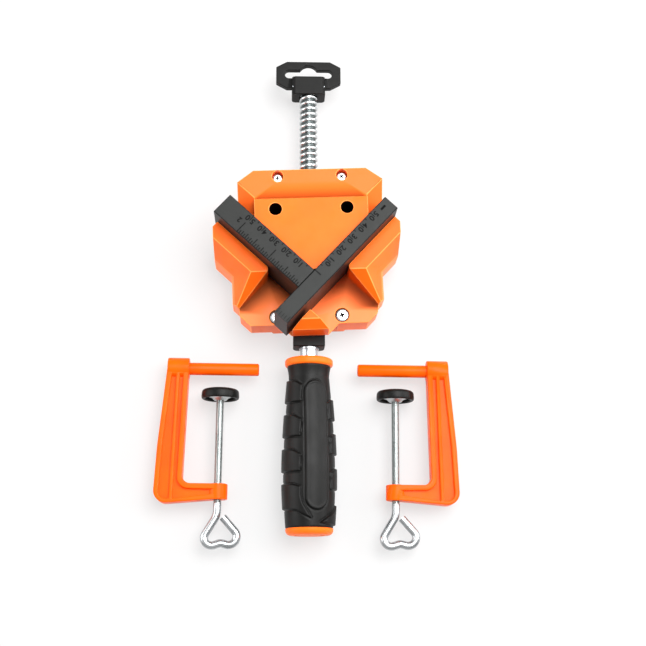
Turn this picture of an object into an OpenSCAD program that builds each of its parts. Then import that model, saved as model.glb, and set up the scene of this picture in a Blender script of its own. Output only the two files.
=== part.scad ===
// Corner clamp with two graduated bars and a pair of bench clamps.
// Millimetres. X is to the right, Y to the rear along the base, Z up from the bench.
// The origin is on the bench, under the corner where the two fixed jaw faces would meet.

/* [Scale bars] */
// Thickness of the long bar, on the right
long_bar_w = 10.6; // [6:0.1:16]
// Length of the long bar
long_bar_len = 100; // [85:1:120]
// How far the long bar runs past the corner
long_bar_overhang = 20.8; // [12:0.1:24]
// Thickness of the short bar, on the left
short_bar_w = 14.8; // [6:0.1:16]
// Length of the short bar
short_bar_len = 70; // [55:1:80]
// Height of both bars
bar_h = 34; // [22:1:40]
// Bevel on the long edges of both bars
bar_bevel = 0.5; // [0.2:0.1:1.2]
// Gap between a bar and each face beside it
bar_gap = 0.15; // [0.1:0.05:0.4]

/* [Base casting] */
// Height of the channel floor above the bench
floor_z = 27; // [26:0.5:34]
// Height of the fixed jaws above the channel floor
jaw_rise = 20; // [12:0.5:28]
// Distance along a bar from the corner to its fixed jaw
jaw_near = 33.6; // [28:0.2:38]
// Length of each fixed jaw face
jaw_len = 44.8; // [36:0.2:52]
// Width of the flat top of a fixed jaw
jaw_top_w = 9.6; // [6:0.2:12]
// Width of a fixed jaw at the foot of its slope
jaw_foot_w = 16; // [13:0.2:18]
// Height of the upright rim under the slopes
rim_z = 25; // [18:0.5:26]
// Half width over the ends of the fixed jaws
base_half_w = 58.6; // [54:0.2:64]
// Half width over the buttress legs
leg_half_w = 48; // [45:0.2:52]
// Reach of a buttress leg, square to the jaw face
leg_reach = 28.6; // [25:0.2:32]
// Distance from the corner to the floor's front edge
front_edge = 7.5; // [6:0.1:9]
// Half width of the floor's front edge
front_half_w = 37; // [33:0.2:39]
// Distance from the corner to the face of the front nose
nose_reach = 14.3; // [13:0.1:16]
// Gap between the corner and the tip of the nose
nose_relief = 2.7; // [1:0.1:4]
// Width of the floor under a bar
arm_w = 18; // [17:0.5:22]
// Distance from the corner to the rear edge of the floor
floor_rear = 50; // [44:0.5:50]
// Diameter of the sockets for the bench clamp pegs
socket_d = 8.2; // [7:0.1:10]
// Depth of those sockets
socket_depth = 35; // [20:1:36]

/* [Foot plate] */
// Thickness of the foot plate, which carries the casting
foot_t = 8; // [6:0.5:9]
// Width of the foot plate
foot_w = 54; // [48:1:60]
// Spacing of the two screws that hold the foot plate
foot_screw_gap = 41.3; // [38:0.1:44]
// Diameter of the heads of those screws
foot_screw_head_d = 8.2; // [6:0.1:8.4]

/* [Spindle] */
// Height of the spindle axis above the bench
spindle_z = 17.8; // [17.6:0.1:18.2]
// Outside diameter of the spindle's thread
spindle_d = 12; // [10:0.1:13]
// Diameter of the journal that turns in the thrust block
journal_d = 11; // [9.5:0.1:11.4]
// Diameter of the shank inside the handle
shank_d = 9; // [7:0.1:9.2]
// Distance from the corner to the rear end of the spindle
spindle_rear = 160; // [150:0.5:175]
// Width of the thrust block that the spindle turns in
block_w = 20; // [18:0.1:20.4]
// Distance from the corner to the front of the thrust block
block_front = 20.8; // [20:0.1:23]
// Distance from the corner to the rear of the thrust block
block_rear = 8.5; // [6:0.1:9]
// Diameter of the pin that the thrust block swings on
pivot_pin_d = 8; // [6:0.1:9]

/* [Handle] */
// Distance from the corner to the handle's collar
handle_start = 28.4; // [26:0.1:30]
// Length of the collar
collar_len = 4.9; // [4:0.1:7]
// Diameter of the collar
collar_d = 30.2; // [28:0.1:32]
// Length of the soft grip
grip_len = 100.3; // [90:0.1:112]
// Diameter of the grip at its mouth, against the collar
mouth_d = 27.6; // [26:0.1:29]
// Diameter of the grip at its neck
neck_d = 25.4; // [24:0.1:27]
// Diameter of the grip at its belly
belly_d = 32.2; // [29:0.1:33]
// Diameter of the grip at its heel, and of the end cap
heel_d = 29.4; // [27:0.1:31]
// How far the pads and panels stand out of the grip
pad_rise = 1.2; // [0.6:0.1:1.3]
// Turn of the grip's pattern away from the top, to the right
grip_turn = 16; // [0:1:40]
// Length of the rounded end cap
cap_len = 4.4; // [4:0.1:8]

/* [Hanger] */
// Width of the hanger plate
hanger_w = 43; // [38:0.5:50]
// Depth of the hanger plate
hanger_depth = 19; // [18:0.5:24]
// Thickness of the hanger plate
hanger_t = 4.4; // [3:0.1:6]
// Length of the hanging slot
slot_len = 31.5; // [26:0.5:34]
// Width of the hanging slot
slot_w = 5.8; // [4.5:0.1:6.4]
// Diameter of the bulge in the middle of the slot
eye_d = 12.4; // [9:0.1:14]
// Width of the boss on the spindle's end
boss_w = 22; // [18:0.5:24]
// Length of the boss along the spindle
boss_len = 12.5; // [11:0.1:15]
// Height of the boss
boss_h = 15; // [14.6:0.1:18]

/* [Moving jaw] */
// Height of the head's top above the bench
head_z = 52; // [48:0.5:56]
// Height of the raised plate above the head
plate_rise = 3; // [1:0.1:4]
// Half width of the plate, and of the head's rear edge
plate_half_w = 35.3; // [32:0.1:40]
// Half width of the head
head_half_w = 45.4; // [42:0.1:50]
// Length of the plate, from its tip
plate_len = 48.1; // [44:0.1:52]
// Length of the whole jaw, from its tip
head_len = 68; // [66:0.1:74]
// Depth of the bevels at the head's rear corners
head_bevel = 7.4; // [4:0.1:9]
// Width of the slope on each ear of the head
ear_slope = 10.7; // [6:0.1:14]
// Radius of the jaw's tip
tip_r = 5; // [1:0.1:6]
// Diameter of the two holes in the plate
plate_hole_d = 8; // [5:0.1:10]
// Spacing of the two holes in the plate
plate_hole_gap = 44.4; // [40:0.1:48]
// Distance from the tip to the holes in the plate
plate_hole_at = 41.3; // [39:0.1:43]
// Distance from the jaw's rear face to the middle of the nut
nut_inset = 10.4; // [10:0.1:11]
// Diameter of the barrel nut
nut_d = 20; // [18:0.1:20.4]
// Spacing of the two screws in the head
head_screw_gap = 40.2; // [36:0.1:42]
// Diameter of the heads of those screws
head_screw_head_d = 6.6; // [5.6:0.1:7]

/* [Bench clamps] */
// Diameter of the peg
peg_d = 7.8; // [6:0.1:9]
// Length of the peg outside its boss
peg_len = 44; // [30:0.5:50]
// Diameter of the boss that holds the peg
peg_boss_d = 13.6; // [12:0.1:16]
// Length of the boss that holds the peg
peg_boss_len = 13.4; // [10:0.1:16]
// Distance from the screw to the boss
throat = 20; // [18:0.2:26]
// Distance from the peg down to the lower arm
gape = 72.5; // [64:0.5:84]
// Thickness of the frame
frame_t = 11.6; // [9:0.1:12]
// Width of the spine at its top
spine_top_w = 13.4; // [12:0.1:15]
// Width of the spine at its foot
spine_foot_w = 17.6; // [16:0.1:20]
// Depth of the lower arm at the screw
arm_tip_h = 9.4; // [8:0.1:11]
// Depth of the lower arm at the spine
arm_root_h = 12.8; // [11:0.1:15]
// Diameter of the screw
screw_d = 5; // [4:0.1:6]
// Width between the lobes of the screw's heart-shaped loop
loop_w = 28.4; // [24:0.1:32]
// Length of that loop
loop_len = 19.6; // [17:0.1:24]
// Diameter of the nut boss on the lower arm
nut_boss_d = 11.4; // [9:0.1:13]
// Width of the rims round the frame's recesses
rim_w = 2.6; // [2:0.1:3]
// Depth of those recesses
recess = 2.4; // [1:0.1:3.5]
// Diameter of the pad's rubber cap
pad_d = 23.8; // [20:0.1:28]
// Length of the rubber cap along the screw
pad_len = 6.1; // [5:0.1:8]
// Gap between the pad and the peg
pad_gap = 9.2; // [8:0.1:14]

/* [Hidden] */

$fn = 64;
k = sqrt(0.5);
far = 400;

// Fits
shaft_gap = 0.05;
slide_gap = 0.3;
seat_gap = 0.02;
cut = 1;

// Levels
jaw_top_z = floor_z + jaw_rise;
jaw_under_z = floor_z + slide_gap;
tunnel_top = spindle_z + spindle_d / 2 + 0.6;

// Base outline
jaw_far = jaw_near + jaw_len;
leg_slope_y = jaw_near / k / 2 - jaw_top_w * k + 5.2;
nose_half_w = nose_reach - nose_relief;
nose_flat = 6;
nose_drop = 6;
cheek_w = nose_half_w + 2;
cheek_len = 1.9;
shoulder_x = cheek_w + nose_reach - cheek_len - front_edge;
lip_half_w = shoulder_x - 0.8;
lip_relief = 0.6;
jaw_round = 3;
pocket_half_w = block_w / 2 + 0.9;
pocket_rear = block_rear + 1.9;
tunnel_half_w = spindle_d / 2 + 3.5;
screw_y = -2.1;
foot_front = 6.5;
foot_corner = 4;

// Screws
screw_shank_d = 4;
screw_head_h = 2.4;
screw_head_inset = 0.4;
screw_seat_gap = 0.45;
foot_screw_tip = 1.5;

// Bars and moving jaw
jaw_shift = (short_bar_w - long_bar_w) * k;
jaw_tip_y = (short_bar_w + long_bar_w + 4 * bar_gap) * k;
nut_at = head_len - nut_inset;
nut_y = jaw_tip_y + nut_at;
swing = atan(jaw_shift / nut_y);
short_bar_start = long_bar_w + 2 * bar_gap;
side_len = head_len - head_bevel;
plate_z = head_z + plate_rise;
plate_hole_depth = 24;
housing_half_w = 26;
housing_front = nut_at - nut_d / 2 + 3;
keeper_t = 4;
keeper_z = foot_t - 2.6;
housing_z = keeper_z + keeper_t;
nut_h = 2 * (spindle_z - housing_z);
nut_slot = spindle_d + 3.2;
head_screw_at = head_len - 4.2;
head_screw_inset = 3.4;

// Thrust block and spindle fittings
block_z = foot_t + slide_gap;
block_top = tunnel_top - 0.2;
block_round = 4.5;
pivot_pin_z = 2;
pivot_pin_top = spindle_z - journal_d / 2 - 0.7;
washer_d = spindle_d + 0.6;
washer_t = 1.1;
ring_d = journal_d + 1.6;
ring_t = 1;
ring_groove = 1.3;
ring_y = -block_front - slide_gap - ring_t;
shoulder_y = block_rear + washer_t + 0.2;
spindle_bevel = 1;

// Handle
grip_start = handle_start + collar_len;
grip_end = grip_start + grip_len;
handle_end = grip_end + cap_len;
neck_at = grip_start + grip_len * 0.07;
belly_at = grip_start + grip_len * 0.69;
core_d = 19;
core_end = grip_end - 4;
shank_end = core_end - 16;
handle_pin_d = 4;
handle_pin_at = grip_start + 14;
collar_round = 1.6;
pad_pitch = grip_len * 0.215;
pad_long = grip_len * 0.145;
first_pad = grip_start + grip_len * 0.09;
pad_low = 146;
panel_w = 14.4;
panel_len = grip_len * 0.79;
panel_at = grip_start + grip_len * 0.5;
cap_round = 3;

// Hanger
hanger_front = spindle_rear - 10.3;
bore_end = spindle_rear + 0.4;
plate_front = hanger_front + boss_len - 6.2;
hanger_corner = 7;
slot_y = hanger_front + boss_len + 1 + slot_w / 2;
boss_round = 2.6;
hanger_pin_d = 2.5;
hanger_pin_y = spindle_rear - 4.6;
groove_r = spindle_d / 2 - 2;
hanger_pin_z = spindle_z + groove_r + hanger_pin_d / 2 + 0.1;

// Bench clamps
left_clamp_at = [-56.7, -31.3];
right_clamp_at = [53.6, -36.5];
clamp_turn = -3;
clamp_z = pad_d / 2;
boss_end = throat + peg_boss_len;
spine_lean = 2;
foot_x = throat + spine_lean;
corner_r = 9;
inner_r = 5;
pad_top = peg_d / 2 + pad_gap;
cup_rim_d = pad_d - 5;
cap_top_t = 2.2;
cup_t = 1.8;
cup_cone = 3;
screw_top = pad_top + cap_top_t + 0.9;
loop_drop = gape + arm_tip_h + 9.6;
bend_lap = 0.3;
bend_thinning = 0.06;

function vee(s, t) = [(s - t) * k, (s + t) * k];
function flipped(points) = [for (i = [len(points) - 1 : -1 : 0]) [-points[i].x, points[i].y]];
function unit(v) = v / norm(v);
function turn_of(u, v) = atan2(u.x * v.y - u.y * v.x, u.x * v.x + u.y * v.y);
function grip_r(a) = a < neck_at
  ? neck_d / 2 + (mouth_d - neck_d) / 2 * (1 - sin(90 * (a - grip_start) / (neck_at - grip_start)))
  : a < belly_at
    ? neck_d / 2 + (belly_d - neck_d) / 2 * sin(90 * (a - neck_at) / (belly_at - neck_at))
    : heel_d / 2 + (belly_d - heel_d) / 2 * cos(90 * (a - belly_at) / (grip_end - belly_at));

// A drawing of distance inside the jaw face and height, run along the right-hand bar
module along_bar(start, length) {
  rotate([90, 0, 135]) translate([0, 0, start]) linear_extrude(length) children();
}

// A drawing of depth and height, run across the whole width
module across() {
  translate([-far / 2, 0, 0]) rotate([90, 0, 90]) linear_extrude(far) children();
}

// A drawing of width and height, run from front to rear
module lengthwise(start, length) {
  translate([0, start + length, 0]) rotate([90, 0, 0]) linear_extrude(length) children();
}

module both_sides() {
  children();
  mirror([1, 0, 0]) children();
}

// Pieces on the spindle swing with it about the pivot pin
module swung() {
  rotate([0, 0, -swing]) children();
}

// A shaft along the spindle, from one distance behind the corner to another
module shaft(from, to, d) {
  translate([0, from, spindle_z]) rotate([-90, 0, 0]) cylinder(h = to - from, d = d);
}

// A turned piece on the handle, drawn as radius and distance in front of the corner
module turned_on_handle() {
  translate([0, 0, spindle_z]) rotate([90, 0, 0]) children();
}

// The fixed jaw on the right, with its buttress leg
module fixed_jaw() {
  outline = [
    vee(jaw_near + jaw_round, 0),
    vee(jaw_near + jaw_round, -jaw_round),
    vee(jaw_near, -jaw_round),
    vee(jaw_near, -leg_reach),
    [leg_half_w, leg_half_w - leg_reach / k],
    [leg_half_w, leg_half_w - jaw_foot_w / k],
    [base_half_w, base_half_w - jaw_foot_w / k],
    [base_half_w, jaw_far / k - base_half_w],
    vee(jaw_far, 0)
  ];
  leg_crest_x = leg_slope_y + jaw_top_w / k;
  intersection() {
    translate([0, 0, foot_t]) linear_extrude(jaw_top_z - foot_t) {
      polygon(outline);
      translate(vee(jaw_near + jaw_round, -jaw_round)) circle(r = jaw_round);
    }
    across() polygon([
      [leg_slope_y, jaw_top_z], [leg_slope_y - jaw_top_z, 0], [far, 0], [far, jaw_top_z]
    ]);
    union() {
      along_bar(-far / 2, far) polygon([
        [cut, 0], [cut, jaw_top_z], [-jaw_top_w, jaw_top_z], [-jaw_foot_w, rim_z], [-jaw_foot_w, 0]
      ]);
      lengthwise(-far / 2, far) polygon([
        [0, 0], [0, jaw_top_z], [leg_crest_x, jaw_top_z], [leg_half_w, rim_z], [leg_half_w, 0]
      ]);
    }
  }
}

// The nose in front of the corner, level with the fixed jaws and bevelled at its front
module nose() {
  intersection() {
    linear_extrude(jaw_top_z) polygon([
      [0, -nose_relief], [-nose_half_w, -nose_reach], [nose_half_w, -nose_reach]
    ]);
    across() polygon([
      [-nose_reach, floor_z - cut], [-nose_reach, jaw_top_z - nose_drop],
      [-nose_relief - nose_flat, jaw_top_z], [0, jaw_top_z], [0, floor_z - cut]
    ]);
  }
}

module floor_slab() {
  corner = leg_half_w - front_half_w - 4.5;
  right = [
    [nose_half_w, -nose_reach],
    [cheek_w, cheek_len - nose_reach],
    [shoulder_x, -front_edge],
    [front_half_w, -front_edge],
    [front_half_w + corner, corner - front_edge],
    vee(jaw_near, -leg_reach),
    vee(jaw_near + 2, -jaw_top_w / 2),
    vee(jaw_far, -jaw_top_w / 2),
    vee(jaw_far, arm_w),
    [floor_rear - arm_w / k, floor_rear]
  ];
  translate([0, 0, foot_t]) linear_extrude(floor_z - foot_t) polygon(concat(right, flipped(right)));
}

// Hollows in the underside, below a jaw and below the floor beside it
module underside_hollows() {
  wall = 4;
  hollow_near = jaw_near + 12;
  translate([0, 0, foot_t - cut]) linear_extrude(rim_z - foot_t - wall + cut)
    polygon([
      vee(hollow_near, -wall), vee(hollow_near, wall - jaw_foot_w),
      vee(jaw_far - wall, wall - jaw_foot_w), vee(jaw_far - wall, -wall)
    ]);
  translate([0, 0, foot_t - cut]) linear_extrude(floor_z - foot_t - wall + cut)
    polygon([
      vee(hollow_near, 0), vee(jaw_far - wall, 0),
      vee(jaw_far - wall, arm_w - wall), vee(hollow_near, arm_w - wall)
    ]);
}

module base_casting() {
  color("#f0641e") difference() {
    union() {
      floor_slab();
      nose();
      both_sides() fixed_jaw();
    }
    both_sides() underside_hollows();
    translate([-pocket_half_w, -nose_reach - cut, 0])
      cube([2 * pocket_half_w, nose_reach + cut + pocket_rear, tunnel_top]);
    translate([-lip_half_w, -nose_reach - cut, 0])
      cube([2 * lip_half_w, nose_reach + cut - front_edge + lip_relief, tunnel_top]);
    translate([-tunnel_half_w, 0, 0]) cube([2 * tunnel_half_w, floor_rear + cut, tunnel_top]);
    both_sides() {
      translate([foot_screw_gap / 2, screw_y, 0]) {
        cylinder(h = far, d = screw_shank_d + 2 * slide_gap);
        translate([0, 0, floor_z - screw_head_h - screw_head_inset])
          cylinder(h = far, d = foot_screw_head_d + 2 * screw_seat_gap);
      }
      translate([leg_half_w - socket_depth, leg_half_w - leg_reach / k + 9, (foot_t + rim_z) / 2])
        rotate([0, 90, 0]) cylinder(h = socket_depth + cut, d = socket_d);
    }
  }
}

module foot_plate() {
  half = foot_w / 2;
  outline = [
    [half - foot_corner, -foot_front], [half, foot_corner - foot_front],
    [half, floor_rear - foot_corner], [half - foot_corner, floor_rear]
  ];
  color("#f0641e") difference() {
    linear_extrude(foot_t) polygon(concat(outline, flipped(outline)));
    translate([0, 0, pivot_pin_z]) cylinder(h = foot_t, d = pivot_pin_d + 2 * seat_gap);
    both_sides() translate([foot_screw_gap / 2, screw_y, foot_screw_tip])
      cylinder(h = foot_t, d = screw_shank_d + 2 * seat_gap);
  }
}

// A pan-head screw standing on the given point
module pan_screw(tip_z, head_z, head_d) {
  translate([0, 0, tip_z]) cylinder(h = head_z - tip_z, d = screw_shank_d);
  translate([0, 0, head_z]) {
    cylinder(h = screw_head_h * 0.6, d = head_d);
    translate([0, 0, screw_head_h * 0.6])
      cylinder(h = screw_head_h * 0.4, d1 = head_d, d2 = head_d - 2);
  }
}

module foot_screws() {
  color("#d8d8d4") both_sides() translate([foot_screw_gap / 2, screw_y, 0])
    pan_screw(foot_screw_tip + 0.2, floor_z - screw_head_h - screw_head_inset, foot_screw_head_d);
}

module pivot_pin() {
  color("#b8babd") translate([0, 0, pivot_pin_z])
    cylinder(h = pivot_pin_top - pivot_pin_z, d = pivot_pin_d);
}

// The block's section: square at the top and round at the lower corners
module block_section() {
  half = block_w / 2;
  translate([-half, block_z + block_round]) square([block_w, block_top - block_z - block_round]);
  translate([block_round - half, block_z]) square([block_w - 2 * block_round, block_round + cut]);
  for (side = [-1, 1])
    translate([side * (half - block_round), block_z + block_round]) circle(r = block_round);
}

module thrust_block() {
  color("#2b2b2b") swung() difference() {
    lengthwise(-block_front, block_front + block_rear) block_section();
    shaft(-far / 2, far / 2, journal_d + 2 * shaft_gap);
    cylinder(h = pivot_pin_top + slide_gap, d = pivot_pin_d + 2 * shaft_gap);
  }
}

module spindle() {
  groove_half = hanger_pin_d / 2 + 0.1;
  color("#c9ccd0") swung() difference() {
    union() {
      shaft(-shank_end, -handle_start, shank_d);
      shaft(-handle_start, shoulder_y, journal_d);
      shaft(shoulder_y, spindle_rear - spindle_bevel, spindle_d);
      translate([0, spindle_rear - spindle_bevel, spindle_z]) rotate([-90, 0, 0])
        cylinder(h = spindle_bevel, d1 = spindle_d, d2 = spindle_d - 2 * spindle_bevel);
    }
    difference() {
      shaft(hanger_pin_y - groove_half, hanger_pin_y + groove_half, spindle_d + cut);
      shaft(hanger_pin_y - cut - groove_half, hanger_pin_y + cut + groove_half, 2 * groove_r);
    }
    difference() {
      shaft(ring_y - slide_gap / 2, ring_y + ring_t + slide_gap / 2, spindle_d + cut);
      shaft(ring_y - cut, ring_y + ring_t + cut, journal_d - ring_groove);
    }
    turned_on_handle() translate([0, 0, handle_pin_at]) rotate([90, 0, 0])
      cylinder(h = far, d = handle_pin_d + 2 * seat_gap, center = true);
  }
}

module ring_on_spindle(from, thickness, outer, inner) {
  difference() {
    shaft(from, from + thickness, outer);
    shaft(from - cut, from + thickness + cut, inner);
  }
}

module thrust_washer() {
  color("#9aa0a6") swung()
    ring_on_spindle(block_rear + 0.1, washer_t, washer_d, journal_d + 2 * shaft_gap);
}

module retaining_ring() {
  color("#9aa0a6") swung()
    ring_on_spindle(ring_y, ring_t, ring_d, journal_d - ring_groove + 2 * seat_gap);
}

// The moulded core: a rounded collar in front and a tube inside the grip
module handle_core() {
  r = collar_d / 2;
  color("#f0641e") swung() turned_on_handle() difference() {
    rotate_extrude() {
      translate([0, handle_start + collar_round]) square([r, collar_len - 2 * collar_round]);
      translate([0, handle_start]) square([r - collar_round, collar_len]);
      for (a = [handle_start + collar_round, grip_start - collar_round])
        translate([r - collar_round, a]) circle(r = collar_round);
      translate([0, grip_start - cut]) square([core_d / 2, core_end - grip_start + cut]);
    }
    translate([0, 0, handle_start - cut])
      cylinder(h = shank_end - handle_start + cut + 0.3, d = shank_d + 2 * seat_gap);
    translate([0, 0, core_end - 8]) cylinder(h = far, d = core_d - 6);
    translate([0, 0, handle_pin_at]) rotate([90, 0, 0])
      cylinder(h = far, d = handle_pin_d + 2 * seat_gap, center = true);
  }
}

module handle_pin() {
  color("#9aa0a6") swung() turned_on_handle() translate([0, 0, handle_pin_at]) rotate([90, 0, 0])
    cylinder(h = core_d - 0.6, d = handle_pin_d, center = true);
}

// The outline of the grip between two places, a given height over its surface
module grip_half(from, to, height, inner, steps) {
  polygon(concat(
    [[inner, from]],
    [for (i = [0 : steps]) let (a = from + (to - from) * i / steps) [grip_r(a) + height, a]],
    [[inner, to]]
  ));
}

// A drawing cut through the grip from one side: X towards the top panel, Y along the handle
module through_grip(turn, flip) {
  rotate([0, 0, turn - grip_turn]) rotate([-90, 0, 0]) linear_extrude(far)
    mirror([flip, 0, 0]) mirror([0, 1, 0]) children();
}

// A place on the pads' surface, by its angle from the middle of the top panel, seen from the flank
function flank(angle, a) = [(grip_r(a) + pad_rise) * cos(angle), a];

// One pad of the flank, with its front corner by the panel cut away
module pad_outline(a) {
  polygon([
    flank(pad_low, a), flank(107, a), flank(54, a + 1.9), flank(36, a + 4.5),
    flank(38, a + pad_long), flank(pad_low, a + pad_long - 0.6)
  ]);
}

// The last pad on the left, which sweeps round the end of the panel to a point
module swept_pad(a) {
  polygon([
    flank(pad_low, a), flank(107, a), flank(54, a + 1.2), flank(37, a + 2.6),
    flank(37, a + 8), flank(33, a + 12), flank(25, a + 16), flank(14, a + 21),
    flank(48, a + 16.2), flank(107, a + 15.3), flank(pad_low, a + 15.3)
  ]);
}

// The pointed flare on the right, across from the swept pad
module flare(a) {
  polygon([
    flank(pad_low, a), flank(73, a), flank(10, a + 10.8), flank(73, a + 12), flank(pad_low, a + 12)
  ]);
}

module panel_outline() {
  straight = panel_len - panel_w;
  translate([0, panel_at]) {
    square([panel_w, straight], center = true);
    for (end = [-1, 1]) translate([0, end * straight / 2]) circle(d = panel_w);
  }
}

// Pads on both flanks, staggered, and bare panels on the top and the underside
module grip_relief() {
  through_grip(90, 0) {
    for (i = [0 : 2]) pad_outline(first_pad + i * pad_pitch);
    swept_pad(first_pad + 3 * pad_pitch);
  }
  through_grip(-90, 1) {
    for (i = [0.5 : 2.5]) pad_outline(first_pad + i * pad_pitch);
    flare(first_pad + 3.6 * pad_pitch);
  }
  for (turn = [0, 180]) through_grip(turn, 0) panel_outline();
}

module handle_grip() {
  color("#2e2f30") swung() turned_on_handle() difference() {
    union() {
      rotate_extrude() grip_half(grip_start, neck_at, 0, 0, 5);
      rotate_extrude() grip_half(neck_at, grip_end, 0, 0, 18);
      intersection() {
        rotate_extrude() grip_half(neck_at, grip_end - 0.5, pad_rise, core_d / 2 + 1, 18);
        grip_relief();
      }
    }
    translate([0, 0, grip_start - cut]) cylinder(h = far, d = core_d + 2 * seat_gap);
  }
}

module end_cap() {
  r = heel_d / 2;
  color("#f0641e") swung() turned_on_handle() rotate_extrude() {
    translate([0, grip_end]) square([r - cap_round, cap_len]);
    translate([0, grip_end]) square([r, cap_len - cap_round]);
    intersection() {
      translate([r - cap_round, handle_end - cap_round]) circle(r = cap_round);
      translate([0, grip_end]) square([r, cap_len]);
    }
    translate([0, grip_end - 3.6]) square([core_d / 2 - 3.2, 4]);
  }
}

// The hanger's flat outline with its slot, which bulges at the rear of its middle
module hanger_outline() {
  half = hanger_w / 2;
  rear = plate_front + hanger_depth;
  outline = [
    [half - hanger_corner, plate_front], [half, plate_front + hanger_corner * 0.55],
    [half, rear - hanger_corner * 0.55], [half - hanger_corner, rear]
  ];
  straight = slot_len - slot_w;
  difference() {
    polygon(concat(outline, flipped(outline)));
    translate([0, slot_y]) {
      square([straight, slot_w], center = true);
      for (end = [-1, 1]) translate([end * straight / 2, 0]) circle(d = slot_w);
      intersection() {
        circle(d = eye_d);
        translate([-eye_d, -slot_w / 2]) square([2 * eye_d, eye_d]);
      }
    }
  }
}

module boss_section() {
  inner_w = boss_w - 2 * boss_round;
  inner_h = boss_h - 2 * boss_round;
  translate([0, spindle_z]) {
    square([boss_w, inner_h], center = true);
    square([inner_w, boss_h], center = true);
    for (x = [-1, 1]) for (y = [-1, 1])
      translate([x * inner_w / 2, y * inner_h / 2]) circle(r = boss_round);
  }
}

module hanger() {
  color("#2b2b2b") swung() difference() {
    union() {
      translate([0, 0, spindle_z - hanger_t / 2]) linear_extrude(hanger_t) hanger_outline();
      lengthwise(hanger_front, boss_len) boss_section();
    }
    shaft(hanger_front - cut, bore_end, spindle_d + 2 * shaft_gap);
    translate([0, hanger_pin_y, hanger_pin_z]) rotate([0, 90, 0])
      cylinder(h = far, d = hanger_pin_d + 2 * seat_gap, center = true);
  }
}

module hanger_pin() {
  color("#b8babd") swung() translate([0, hanger_pin_y, hanger_pin_z]) rotate([0, 90, 0])
    cylinder(h = boss_w - 1, d = hanger_pin_d, center = true);
}

// The head's outline, measured from the sharp tip, with the tip itself cut off
module head_outline() {
  right = [
    [tip_r * k, tip_r * k], [head_half_w, head_half_w], [head_half_w, side_len], [plate_half_w, head_len]
  ];
  polygon(concat(right, flipped(right)));
}

// The plate's outline, with the rounded tip
module plate_outline() {
  right = [[tip_r * k, tip_r * k], [plate_half_w, plate_half_w], [plate_half_w, plate_len]];
  polygon(concat(right, flipped(right)));
  translate([0, tip_r / k]) circle(r = tip_r - seat_gap);
}

// The slope that falls from an ear of the head to the jaw face
module ear_cut() {
  intersection() {
    along_bar(-far / 2, far) polygon([
      [ear_slope, head_z], [ear_slope, head_z + cut], [-cut, head_z + cut], [-cut, head_z - ear_slope - cut]
    ]);
    translate([plate_half_w, 0, 0]) cube([far, far, far]);
  }
}

module moving_jaw() {
  color("#f0641e") translate([jaw_shift, jaw_tip_y, 0]) difference() {
    union() {
      difference() {
        translate([0, 0, jaw_under_z]) linear_extrude(head_z - jaw_under_z) head_outline();
        both_sides() ear_cut();
      }
      translate([0, 0, jaw_under_z]) linear_extrude(plate_z - jaw_under_z) plate_outline();
      translate([-housing_half_w, housing_front, housing_z])
        cube([2 * housing_half_w, head_len - housing_front, jaw_under_z - housing_z + cut]);
    }
    both_sides() translate([head_screw_gap / 2, head_screw_at, 0]) {
      cylinder(h = far, d = screw_shank_d + 2 * slide_gap);
      translate([0, 0, head_z - screw_head_h - head_screw_inset])
        cylinder(h = far, d = head_screw_head_d + screw_seat_gap);
    }
    both_sides() translate([plate_hole_gap / 2, plate_hole_at, plate_z - plate_hole_depth])
      cylinder(h = far, d = plate_hole_d);
    translate([0, nut_at, housing_z - cut]) cylinder(h = nut_h + cut + 0.2, d = nut_d + 2 * shaft_gap);
    translate([-nut_slot / 2, housing_front - cut, spindle_z - nut_slot / 2])
      cube([nut_slot, far, nut_slot]);
  }
}

module barrel_nut() {
  color("#c8a24a") difference() {
    translate([jaw_shift, nut_y, housing_z + 0.1]) cylinder(h = nut_h - 0.2, d = nut_d);
    swung() shaft(0, far, spindle_d + 2 * shaft_gap);
  }
}

module nut_keeper() {
  color("#2b2b2b") translate([jaw_shift, jaw_tip_y, keeper_z]) difference() {
    translate([-housing_half_w, housing_front, 0])
      cube([2 * housing_half_w, head_len - housing_front, keeper_t]);
    both_sides() translate([head_screw_gap / 2, head_screw_at, -cut])
      cylinder(h = keeper_t + 2 * cut, d = screw_shank_d + 2 * seat_gap);
  }
}

module head_screws() {
  color("#d8d8d4") translate([jaw_shift, jaw_tip_y, 0])
    both_sides() translate([head_screw_gap / 2, head_screw_at, 0])
      pan_screw(keeper_z + 0.3, head_z - screw_head_h - head_screw_inset, head_screw_head_d);
}

// A bar's section: a rectangle with bevelled corners, standing on the channel floor
module bar_section(width) {
  b = bar_bevel;
  translate([bar_gap, floor_z]) polygon([
    [b, 0], [width - b, 0], [width, b], [width, bar_h - b],
    [width - b, bar_h], [b, bar_h], [0, bar_h - b], [0, b]
  ]);
}

module long_scale_bar() {
  color("#4a4b4a") along_bar(-long_bar_overhang, long_bar_len) bar_section(long_bar_w);
}

module short_scale_bar() {
  color("#4a4b4a") mirror([1, 0, 0]) along_bar(short_bar_start, short_bar_len) bar_section(short_bar_w);
}

// A bench clamp's own place: X along its peg, Y along its screw, Z = 0 on the bench
module at_left_clamp() {
  translate(concat(left_clamp_at, 0)) rotate([0, 0, clamp_turn]) children();
}

module at_right_clamp() {
  translate(concat(right_clamp_at, 0)) rotate([0, 0, clamp_turn]) children();
}

module along_peg(from, to, d) {
  translate([from, 0, clamp_z]) rotate([0, 90, 0]) cylinder(h = to - from, d = d);
}

module along_screw(from, to, d) {
  translate([0, from, clamp_z]) rotate([-90, 0, 0]) cylinder(h = to - from, d = d);
}

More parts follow.
